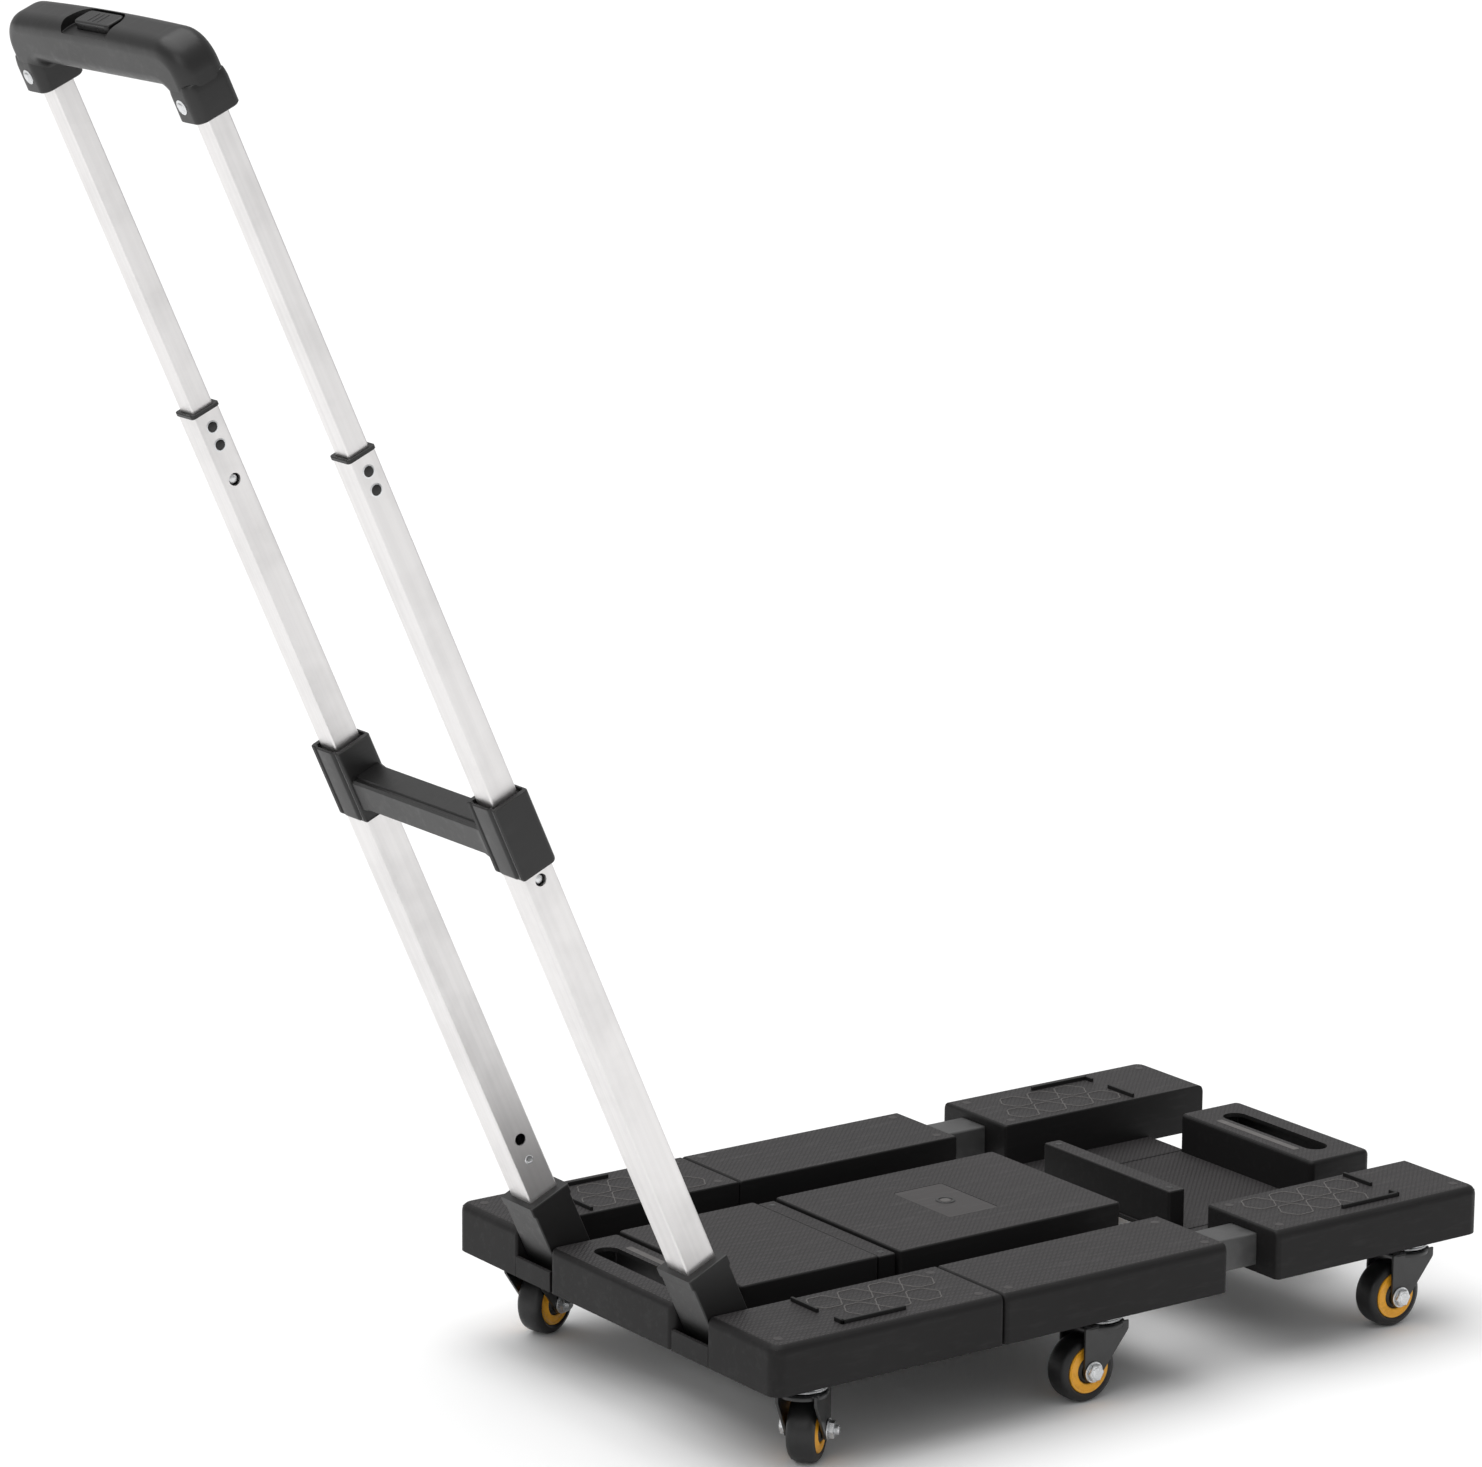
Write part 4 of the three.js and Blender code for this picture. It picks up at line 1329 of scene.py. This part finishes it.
@dataclass
class Stage:
    """One stage of the telescopic handle: a tube on each side, drilled on its right face."""

    name: str
    body: str
    wall: float
    holes: dict[Side, list[float]]
    hole_radius: float = 0.0045

    def build(self) -> None:
        """Builds both tubes."""
        for side in Side:
            node = f"{side.label}_{self.name}_tube"
            low, high = local_box(node, HANDLE_AXES)
            size, y = high.x - low.x, (low.y + high.y) / 2
            form = square_tube(size, self.wall, low.z, high.z, y)
            drills = []
            for z in self.holes.get(side, []):
                start = facing((0, low.y - 0.002, z), (0, 1, 0))
                drills.append(Form().lathe([(self.hole_radius, 0), (self.hole_radius, 0.006)], start, 28))
            if drills:
                form = form.carved(*drills)
            form.piece(f"{node}_wall", TUBE, self.body, HANDLE_AXES, [node], 30)


@dataclass
class TubeFittings:
    """Studs, lock pins and the foot stop on the tubes' right faces."""

    stud_levels: tuple[float, float] = (0.698, 0.684)
    stud_radius: float = 0.0036
    stop_level: float = 0.086

    def build(self) -> None:
        """Builds the studs, pins and stop."""
        for side in Side:
            face = local_box(f"{side.label}_middle_tube", HANDLE_AXES)[0].y
            form = Form()
            for z in self.stud_levels:
                profile = [(self.stud_radius, -0.0008), (self.stud_radius, 0.0001),
                           (self.stud_radius * 0.7, 0.0004), (0.0003, 0.0005)]
                form.lathe(profile, facing((0, face, z), (0, -1, 0)), 24)
            form.piece(f"{side.label}_middle_tube_studs", BUTTON, "handle_middle", HANDLE_AXES)
            rings = Form()
            for z in self.stud_levels:
                lip = [(self.stud_radius - 0.0002, -0.0004), (self.stud_radius + 0.0011, -0.0002),
                       (self.stud_radius + 0.0011, 0.0001), (self.stud_radius + 0.0002, 0.0003)]
                rings.lathe(lip, facing((0, face, z), (0, -1, 0)), 32, True)
            rings.piece(f"{side.label}_middle_tube_stud_rings", ZINC, "handle_middle", HANDLE_AXES)
        for name, body in (("lower_lock_button", "handle_middle"), ("upper_lock_button", "handle_top")):
            low, high = local_box(name, HANDLE_AXES)
            centre = ((low.x + high.x) / 2, high.y, (low.z + high.z) / 2)
            reach, radius = high.y - low.y, (high.x - low.x) / 2 - 0.0005
            profile = [(radius, 0), (radius, reach - 0.0007), (radius * 0.8, reach - 0.0002), (0.0003, reach)]
            pin = Form().lathe(profile, facing(centre, (0, -1, 0)), 24)
            pin.piece(f"{name}_dome", ZINC, body, HANDLE_AXES, [name])
        face = local_box("left_lower_tube", HANDLE_AXES)[0].y
        stop = Form().lathe([(0.0034, -0.0008), (0.0034, 0.0002), (0.0028, 0.0005), (0.0016, 0.0001)],
                            facing((0, face, self.stop_level), (0, -1, 0)), 24)
        stop.piece("left_lower_tube_stop", ZINC, "handle_base", HANDLE_AXES)


@dataclass
class HandleFoot:
    """The socket at the foot of a lower tube, with its round heel and stepped lip."""

    side: Side
    lip: float = 0.0012
    lip_height: float = 0.007
    edge: float = 0.0014

    def build(self) -> None:
        """Builds the socket, the bosses on its pivot and the pin."""
        node = f"{self.side.label}_socket"
        low, high = local_box(node, HANDLE_AXES)
        radius, top = (high.x - low.x) / 2, high.z
        step = top - self.lip_height
        outline = arc((0, 0), radius, 180, 360, 20)
        outline += [(radius, step - 0.002), (radius + self.lip, step), (radius + self.lip, top),
                    (-radius - self.lip, top), (-radius - self.lip, step), (-radius, step - 0.002)]
        form = Form().slab(outline, low.y, high.y, self.edge, across)
        for face, way in ((low.y, -1), (high.y, 1)):
            boss = [(0.010, -0.001), (0.010, 0.0004), (0.0092, 0.0007), (0.0055, 0.0007), (0.005, 0.0003)]
            form.lathe(boss, facing((0, face, 0), (0, way, 0)), 32)
        form.piece(f"{node}_shell", HANDLE, "handle_base", HANDLE_AXES, [node])
        dress(f"{self.side.label}_pivot_pin", ZINC)


@dataclass
class Brace:
    """The cross brace: a fluted sleeve on each lower tube and a grooved bar between them."""

    bar_depth: float = 0.024
    bar_height: float = 0.024
    bar_rise: float = 0.010
    rim: float = 0.0016
    rim_depth: float = 0.003

    def build(self) -> None:
        """Builds the brace."""
        low, high = local_box("cross_brace", HANDLE_AXES)
        tube_low, tube_high = local_box("left_lower_tube", HANDLE_AXES)
        centre = (tube_low.y + tube_high.y) / 2
        half_depth, half_width = high.x, high.y - centre
        form = Form()
        for side in Side:
            self.sleeve(form, side.value * centre, half_depth, half_width, low.z, high.z)
        self.bar(form, centre - half_width, low.z + self.bar_rise)
        form.piece("cross_brace_casting", HANDLE, "handle_base", HANDLE_AXES, ["cross_brace"], 32)

    def sleeve(self, form: Form, y: float, depth: float, width: float, low: float, high: float) -> None:
        """Adds one sleeve with two flutes down its front.

        Args:
            form: The form that takes it.
            y: Its centre across the cart.
            depth: Half its size from front to back.
            width: Half its size across.
            low: Its lower end.
            high: Its upper end.
        """
        front = [(-depth + 0.003, 0.0), (-depth + 0.0012, 0.0007), (-depth + 0.0004, 0.0022),
                 (-depth + 0.0008, 0.0042), (-depth + 0.0022, 0.0052), (-depth + 0.0024, 0.007),
                 (-depth + 0.0008, 0.008), (-depth, 0.0096)]
        rear = arc((depth - 0.004, -width + 0.004), 0.004, 270, 360, 4)
        rear += arc((depth - 0.004, width - 0.004), 0.004, 0, 90, 4)
        points = [(x, -width + step) for x, step in front[::-1]] + rear
        points += [(x, width - step) for x, step in front]
        room = local_box("left_lower_tube", HANDLE_AXES)[1].x + 0.0006
        throat = local_box("left_middle_tube", HANDLE_AXES)[1].x + 0.0009
        shelf = high - self.rim_depth

        def ring(shrink: float, height: float) -> list[tuple[float, float, float]]:
            """The outline made smaller, at one height."""
            return [(u, v + y, height) for u, v in inset(points, shrink)]

        def mouth(half: float, height: float) -> list[tuple[float, float, float]]:
            """The outline drawn in to a square opening, at one height."""
            return [(u * half / max(abs(u), abs(v)), v * half / max(abs(u), abs(v)) + y, height)
                    for u, v in points]

        form.loft([ring(0.0012, low), ring(0.0003, low + 0.0012), ring(0.0, low + 0.0025),
                   ring(0.0, high - 0.0006), ring(0.0005, high), mouth(room, high), mouth(room, shelf),
                   mouth(throat, shelf), mouth(throat, shelf - 0.0004), mouth(room, shelf - 0.0004),
                   mouth(room, low)], closed=True)

    def bar(self, form: Form, end: float, low: float) -> None:
        """Adds the bar, which flares a little where it meets the sleeves.

        Args:
            form: The form that takes it.
            end: Distance from the middle to each sleeve.
            low: Height of its underside.
        """
        half, high = self.bar_depth / 2, low + self.bar_height
        outline = [(half - 0.0015, low), (half, low + 0.0015), (half, high - 0.0015), (half - 0.0015, high),
                   (-half + 0.0052, high), (-half + 0.0044, high - 0.0016), (-half + 0.0026, high - 0.0018),
                   (-half + 0.0014, high - 0.0006), (-half, high - 0.0026), (-half, low + 0.0015),
                   (-half + 0.0015, low)]
        middle = (low + high) / 2
        rings = []
        for share, flare in ((-1.04, 1.1), (-0.97, 1.07), (-0.9, 1.0), (0.9, 1.0), (0.97, 1.07), (1.04, 1.1)):
            rings.append([(u * flare, end * share, middle + (v - middle) * flare) for u, v in outline])
        form.loft(rings)


@dataclass
class Collar:
    """The band at the top of a middle tube, peaked at its corners."""

    side: Side
    peak: float = 0.0012
    height: float = 0.0024
    rim: float = 0.0112

    def build(self) -> None:
        """Builds the band."""
        node = f"{self.side.label}_collar"
        low, high = local_box(node, HANDLE_AXES)
        half, y = high.x, (low.y + high.y) / 2
        bore = local_box(f"{self.side.label}_top_tube", HANDLE_AXES)[1].x + 0.0004
        outline = centred(2 * half, 2 * half, 0.003, 5)

        def ring(size: float, height: float, rise: float) -> list[tuple[float, float, float]]:
            """The outline scaled to a half width, lifted towards its corners.

            Args:
                size: Half width of the ring.
                height: Its level along the tube.
                rise: How far its corners are lifted.

            Returns:
                The ring's points.
            """
            points = []
            for u, v in outline:
                corner = (abs(u) + abs(v)) / half - 1
                points.append((u * size / half, v * size / half + y, height + rise * max(0.0, corner) ** 3))
            return points

        top = high.z - self.peak
        foot = top - self.height
        form = Form().loft([ring(bore, foot, 0), ring(self.rim, foot, 0),
                            ring(self.rim + 0.0004, foot + 0.0004, 0),
                            ring(self.rim + 0.0004, top - 0.0004, self.peak), ring(self.rim, top, self.peak),
                            ring(bore, top, 0)], True)
        form.piece(f"{node}_band", HANDLE, "handle_middle", HANDLE_AXES, [node])


@dataclass
class Grip:
    """The handle's grip: a rounded arch with a recessed release button on top."""

    shoulder: float = 0.025
    armpit: float = 0.009
    bar_height: float = 0.036
    crown: float = 0.0015
    edge: float = 0.0112
    cuff: float = 0.0265
    parting: float = 0.0004
    recess: tuple[float, float] = (0.030, 0.062)
    recess_depth: float = 0.0065
    recess_shift: float = -0.006
    button: tuple[float, float] = (0.0155, 0.044)

    def build(self) -> None:
        """Builds the grip, its cuffs, the button and the rivets."""
        low, high = local_box("handle_grip", HANDLE_AXES)
        tube_low, tube_high = local_box("left_top_tube", HANDLE_AXES)
        inner = (tube_low.y + tube_high.y) / 2 - (tube_high.x - tube_low.x) / 2 - 0.00525
        step = Vector((self.parting, self.parting, 0))
        self.arch(low + step, high - step, inner + self.parting)
        self.cuffs(low, high, inner)
        self.release_button(high)
        for side in Side:
            self.rivet(side, low)
            dress(f"{side.label}_pull_rod", ZINC)
        dress("button_spring", ZINC)

    def outline(self, share: float, low: Vector, high: Vector, inner: float) -> Outline:
        """The arch's outline across the cart, moved inwards.

        Args:
            share: How far its sides move in.
            low: The grip's low corner.
            high: Its high corner.
            inner: Inner face of each leg.

        Returns:
            The points as (Y, Z), anticlockwise.
        """
        side, leg = high.y - share, inner + share
        top, under = high.z - share, high.z - self.bar_height + share
        foot = low.z + 0.010
        shoulder, armpit = max(self.shoulder - share, 0.003), self.armpit + share
        points: Outline = [(-side, foot), (-leg, foot)]
        points += arc((-leg + armpit, under - armpit), armpit, 180, 90, 8)
        points += arc((leg - armpit, under - armpit), armpit, 90, 0, 8)
        points += [(leg, foot), (side, foot)]
        points += arc((side - shoulder, top - self.crown - shoulder), shoulder, 0, 90, 10)
        reach = side - shoulder
        for i in range(1, 12):
            y = reach * (1 - i / 6)
            points.append((y, top - self.crown * (y / reach) ** 2))
        points += arc((-side + shoulder, top - self.crown - shoulder), shoulder, 90, 180, 10)
        return points

    def arch(self, low: Vector, high: Vector, inner: float) -> None:
        """Builds the arch with its button recess.

        Args:
            low: Lowest corner of the grip.
            high: Highest corner of the grip.
            inner: Where a leg's inner side stands, across.
        """
        rings = []
        for depth, share in round_over(low.x, high.x, self.edge, 9):
            rings.append([(depth, y, z) for y, z in self.outline(share, low, high, inner)])
        form = Form().loft(rings)
        dish = [(x + self.recess_shift, y) for x, y in centred(self.recess[0], self.recess[1], 0.0149, 10)]
        well = centred(self.button[0] + 0.0008, self.button[1] + 0.0008, 0.0044, 5)
        form = form.carved(
            Form().slab(dish, high.z - self.recess_depth, high.z + 0.004, 0.0006, level),
            Form().slab(well, high.z - 0.0135, high.z + 0.004, 0.0003, level),
        )
        form.piece("handle_grip_arch", GRIP, "handle_top", HANDLE_AXES, ["handle_grip"], 50)

    def cuffs(self, low: Vector, high: Vector, inner: float) -> None:
        """Builds the squarer cuff over the lower part of each leg, drawn in towards its top.

        Args:
            low: Lowest corner of the grip.
            high: Highest corner of the grip.
            inner: Where a leg's inner side stands, across.
        """
        middle, width = (high.y + inner) / 2, high.y - inner
        outline = centred(high.x - low.x, width, 0.0076, 7)
        steps = ((0.001, 0.0), (0.0, 0.001), (0.0, 0.019), (0.0004, 0.0225), (0.0009, 0.025),
                 (0.0022, self.cuff))
        for side in Side:
            rings = [[(u, v + side.value * middle, low.z + rise) for u, v in inset(outline, share)]
                     for share, rise in steps]
            Form().loft(rings).piece(f"{side.label}_grip_cuff", GRIP, "handle_top", HANDLE_AXES, crease=50)

    def release_button(self, high: Vector) -> None:
        """Builds the push button with three ridges across its top.

        Args:
            high: Highest corner of the grip.
        """
        top = high.z - 0.0008
        outline = centred(self.button[0], self.button[1], 0.004, 5)
        form = Form().slab(outline, top - 0.0078, top, 0.0016, level)
        for i in (-1, 0, 1):
            form.block((-0.005, 0.006 * i - 0.0007, top - 0.0005), (0.005, 0.006 * i + 0.0007, top + 0.0003),
                       TopEdges.all(0.0003), [0.0005] * 4)
        form.piece("release_button_cap", BUTTON, "button", HANDLE_AXES, ["release_button"])

    def rivet(self, side: Side, low: Vector) -> None:
        """Builds the round-headed rivet through the front of one leg.

        Args:
            side: The leg's side.
            low: Lowest corner of the grip.
        """
        node = f"{side.label}_grip_rivet"
        rivet_low, rivet_high = local_box(node, HANDLE_AXES)
        centre = (low.x, (rivet_low.y + rivet_high.y) / 2, (rivet_low.z + rivet_high.z) / 2)
        profile = [(0.0052, -0.002), (0.0052, 0.0003), (0.0047, 0.0006), (0.0036, 0.0006),
                   (0.0032, 0.0012), (0.002, 0.0017), (0.0003, 0.0018)]
        head = Form().lathe(profile, facing(centre, (-1, 0, 0)), 32)
        head.piece(f"{node}_head", ZINC, "handle_top", HANDLE_AXES, [node])


# ---------------------------------------------------------------- casters
@dataclass
class Caster:
    """A swivel caster: plate, ball race, pressed fork, axle bolt and wheel."""

    name: str
    trail: float = 0.015
    screw_radius: float = 0.0042
    fork_sheet: float = 0.0022
    toe: float = 0.008

    @property
    def holder(self) -> str:
        """The body that the caster's plate belongs to."""
        return "rear_deck" if self.name.startswith("rear") else "deck"

    @property
    def axle(self) -> Vector:
        """The wheel's centre."""
        return Vector(joint(f"roll_{self.name}")["pos_m"])

    @property
    def turn(self) -> Matrix:
        """Axes on the floor under the swivel, with the wheel trailing to -X.

        Returns:
            The caster's axes in the frame.
        """
        swivel = Vector(joint(f"swivel_{self.name}")["pos_m"])
        forward = (swivel - self.axle).xy.to_3d().normalized()
        upright = Vector((0, 0, 1))
        axes = Matrix((forward, upright.cross(forward), upright)).transposed().to_4x4()
        return Matrix.Translation((swivel.x, swivel.y, 0)) @ axes

    def build(self) -> None:
        """Builds every piece of the caster."""
        self.plate()
        self.fork()
        self.bolt()
        self.wheel()

    def plate(self) -> None:
        """Dresses the plate, and adds its screws and the rings of its ball race."""
        node = f"caster_{self.name}_plate"
        dress(node, FORK, 0.0005)
        low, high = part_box(node)
        under = high.z - 0.0025
        middle = (low + high) / 2
        heads = Form()
        for x in (low.x + 0.006, high.x - 0.006):
            for y in (low.y + 0.006, high.y - 0.006):
                profile = [(self.screw_radius, 0), (self.screw_radius, 0.0005),
                           (self.screw_radius * 0.75, 0.0019), (0.0012, 0.0023), (0.0009, 0.0014)]
                heads.lathe(profile, facing((x, y, under), (0, 0, -1)), 20)
        heads.piece(f"{node}_screws", ZINC, self.holder)
        rings = Form()
        place = Matrix.Translation((middle.x, middle.y, under))
        for depth, radius in ((0.0004, 0.0176), (0.0026, 0.0182), (0.0048, 0.0176)):
            profile = [(0.0165, -depth - 0.0015), (radius, -depth - 0.0013),
                       (radius + 0.0003, -depth - 0.0007),
                       (radius, -depth), (0.0165, -depth + 0.0002)]
            rings.lathe(profile, place, 36, True)
        rings.piece(f"caster_{self.name}_race_rings", ZINC, self.holder)

    def fork(self) -> None:
        """Builds the pressed fork: a domed top, a bridge, and two legs that reach back."""
        node = f"caster_{self.name}_fork"
        low, high = local_box(node, self.turn)
        top, sheet = high.z, self.fork_sheet
        height = self.axle.z
        radius = (high.y - low.y) / 2
        inner = 0.0128
        form = Form()
        form.lathe([(0.0044, top - sheet), (radius - 0.0002, top - sheet - 0.0022), (radius, top - 0.0026),
                    (radius - 0.0006, top - 0.0012), (radius - 0.0022, top - 0.0003), (0.0044, top)],
                   STILL, 40, True)
        form.block((-self.trail - self.toe, -inner - sheet, top - sheet),
                   (radius - 0.004, inner + sheet, top - 0.0002),
                   TopEdges.all(0.0014), [0.003, 0.004, 0.004, 0.003])
        outline = [(-self.trail - self.toe, top - 0.0012)]
        outline += arc((-self.trail, height), self.toe, 180, 328, 14)
        outline += [(radius - 0.0026, top - 0.0085), (radius - 0.002, top - 0.007),
                    (radius - 0.002, top - 0.0012)]
        for way in (-1, 1):
            y0, y1 = sorted((way * inner, way * (inner + sheet)))
            form.slab(outline, y0, y1, 0.0005, across, 2)
            boss = [(self.toe - 0.0012, -0.0004), (self.toe - 0.0014, 0.0002), (self.toe - 0.002, 0.0003)]
            form.lathe(boss, facing((-self.trail, way * (inner + sheet), height), (0, way, 0)), 28)
        form.piece(f"{node}_pressing", FORK, f"fork_{self.name}", self.turn, [node])

    def bolt(self) -> None:
        """Builds the axle bolt: hexagon head with a washer, and a lock nut over the thread."""
        node = f"caster_{self.name}_axle_bolt"
        reach = 0.0153
        form = Form()
        head = facing((-self.trail, -reach, self.axle.z), (0, -1, 0))
        tail = facing((-self.trail, reach, self.axle.z), (0, 1, 0))
        washer = [(0.0078, 0.0), (0.0078, 0.0006), (0.0074, 0.0009)]
        form.lathe(washer, head, 32).lathe(washer, tail, 32)
        form.lathe([(0.0062, 0.0008), (0.0067, 0.0012), (0.0067, 0.0034), (0.0058, 0.0039)], head, 6)
        form.lathe([(0.0046, 0.0036), (0.0042, 0.0043), (0.0004, 0.0044)], head, 24)
        form.lathe([(0.0062, 0.0008), (0.0067, 0.0012), (0.0067, 0.0042), (0.006, 0.0048)], tail, 6)
        thread = [(0.0038 if i % 2 else 0.0033, 0.0044 + 0.0004 * i) for i in range(9)]
        form.lathe([(0.0033, 0.003), *thread, (0.0026, 0.0082)], tail, 24)
        form.lathe([(0.004, -2 * reach), (0.004, 0.0)], tail, 20)
        form.piece(f"{node}_steel", ZINC, f"fork_{self.name}", self.turn, [node], 30)

    def wheel(self) -> None:
        """Builds the tyre, the coloured rim and the black hub."""
        place = facing(self.axle, joint(f"roll_{self.name}")["axis"])
        body = f"wheel_{self.name}"
        radius, half = self.axle.z, 0.0105
        shoulder = [(-half, radius - 0.0052), (-half + 0.0006, radius - 0.003),
                    (-half + 0.0022, radius - 0.0011),
                    (-half + 0.0045, radius - 0.0003), (-half + 0.008, radius)]
        profile = [(0.0178, -half + 0.0012)] + [(r, h) for h, r in shoulder]
        profile += [(r, -h) for r, h in profile[::-1]]
        Form().lathe(profile, place, 72, True).piece(f"caster_{self.name}_tyre_tread", TYRE, body,
                                                     STILL, [f"caster_{self.name}_tyre"], 50)
        face = [(0.0098, 0.0086), (0.0106, 0.0104), (0.0112, 0.0106), (0.0122, 0.0098), (0.0152, 0.0092),
                (0.0162, 0.0098), (0.0172, 0.0099), (0.0177, 0.0092)]
        profile = [(r, -h) for r, h in face] + face[::-1]
        Form().lathe(profile, place, 64, True).piece(f"caster_{self.name}_rim_ring", RIM, body,
                                                     STILL, [f"caster_{self.name}_rim"])
        face = [(0.0044, 0.0114), (0.0052, 0.012), (0.0082, 0.0116), (0.0092, 0.0104), (0.0101, 0.0096)]
        profile = [(r, -h) for r, h in face] + face[::-1]
        Form().lathe(profile, place, 48, True).piece(f"caster_{self.name}_hub_cap", HUB, body)


# ---------------------------------------------------------------- studio
@dataclass
class Studio:
    """Pale floor, soft light and the camera."""

    azimuth: float = 36.04
    elevation: float = 12.67
    roll: float = 0.53
    distance: float = 4.151
    focal: float = 137.6
    shift: tuple[float, float] = (-0.01866, -0.02327)
    aim: tuple[float, float, float] = (0.2159, 0.1113, 0.4742)

    def build(self) -> None:
        """Builds the floor, the lights and the camera."""
        self.floor()
        self.sky()
        self.overhead()
        self.lamp("front softbox", (-2.4, -1.6, 1.9), (0.0, 0.0, 0.3), 1.4, 9.0)
        self.camera()

    def floor(self) -> None:
        """Lays the paper floor."""
        mesh = bpy.data.meshes.new("floor")
        size = 30.0
        mesh.from_pydata([(-size, -size, 0), (size, -size, 0), (size, size, 0), (-size, size, 0)], [],
                         [(0, 1, 2, 3)])
        mesh.materials.append(FLOOR.material())
        made = bpy.data.objects.new("floor", mesh)
        bpy.context.scene.collection.objects.link(made)

    def sky(self) -> None:
        """Sets the even white surround."""
        world = bpy.data.worlds.new("studio")
        bpy.context.scene.world = world
        world.use_nodes = True
        back = world.node_tree.nodes["Background"]
        back.inputs["Color"].default_value = (1, 1, 1, 1)
        back.inputs["Strength"].default_value = 0.5
        bpy.context.scene.view_settings.view_transform = "Standard"

    def overhead(self) -> None:
        """Hangs the broad light over the whole floor."""
        light = bpy.data.lights.new("overhead light", "SUN")
        light.energy, light.angle = 2.3, math.radians(75)
        made = bpy.data.objects.new("overhead light", light)
        made.rotation_euler = (math.radians(-8), math.radians(-10), 0)
        bpy.context.scene.collection.objects.link(made)

    def lamp(self, name: str, place: Sequence[float], target: Sequence[float], size: float,
             power: float) -> None:
        """Hangs one soft square lamp.

        Args:
            name: Its name.
            place: Where it hangs.
            target: The point that it looks at.
            size: Its width.
            power: Its power in watts.
        """
        light = bpy.data.lights.new(name, "AREA")
        light.size, light.energy = size, power
        made = bpy.data.objects.new(name, light)
        made.location = place
        made.rotation_euler = (Vector(target) - Vector(place)).to_track_quat("-Z", "Y").to_euler()
        bpy.context.scene.collection.objects.link(made)

    def camera(self) -> None:
        """Stands the camera off the cart's front right corner."""
        turn, rise = math.radians(self.azimuth), math.radians(self.elevation)
        back = Vector((-math.sin(turn) * math.cos(rise), -math.cos(turn) * math.cos(rise), math.sin(rise)))
        right = (-back).cross(Vector((0, 0, 1))).normalized()
        up = right.cross(-back)
        tilt = math.radians(self.roll)
        right, up = right * math.cos(tilt) + up * math.sin(tilt), up * math.cos(tilt) - right * math.sin(tilt)
        target = Vector(self.aim) + Vector((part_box("front_section")[0].x, 0, 0))
        data = bpy.data.cameras.new("camera")
        data.lens, data.sensor_width = self.focal, 36.0
        data.shift_x, data.shift_y = self.shift
        made = bpy.data.objects.new("camera", data)
        axes = Matrix((right, up, back)).transposed().to_4x4()
        made.matrix_world = Matrix.Translation(target + back * self.distance) @ axes
        bpy.context.scene.collection.objects.link(made)
        bpy.context.scene.camera = made


def main() -> None:
    """Builds the studio and every sub-assembly in order."""
    logging.basicConfig(level=logging.INFO, format="%(name)s: %(message)s")
    upper_lock = sum(corner.z for corner in local_box("upper_lock_button", HANDLE_AXES)) / 2
    lower_lock = sum(corner.z for corner in local_box("lower_lock_button", HANDLE_AXES)) / 2
    foot_hole = 0.104
    parts: list[object] = [
        Studio(), EndSection(End.FRONT), MiddleSection(), EndSection(End.REAR), TreadPanels(), SlideRails(),
        Stage("lower", "handle_base", 0.0015, {Side.LEFT: [foot_hole], Side.RIGHT: [lower_lock]}),
        Stage("middle", "handle_middle", 0.0014, {Side.LEFT: [upper_lock], Side.RIGHT: [lower_lock]}),
        Stage("top", "handle_top", 0.0012, {Side.LEFT: [upper_lock]}),
        TubeFittings(), *(HandleFoot(side) for side in Side), Brace(), *(Collar(side) for side in Side),
        Grip(), *(Caster(f"{end}_{side.label}") for end in ("front", "middle", "rear") for side in Side),
    ]
    for part in parts:
        part.build()
        log.info("built %s", part)


if __name__ == "__main__":
    main()
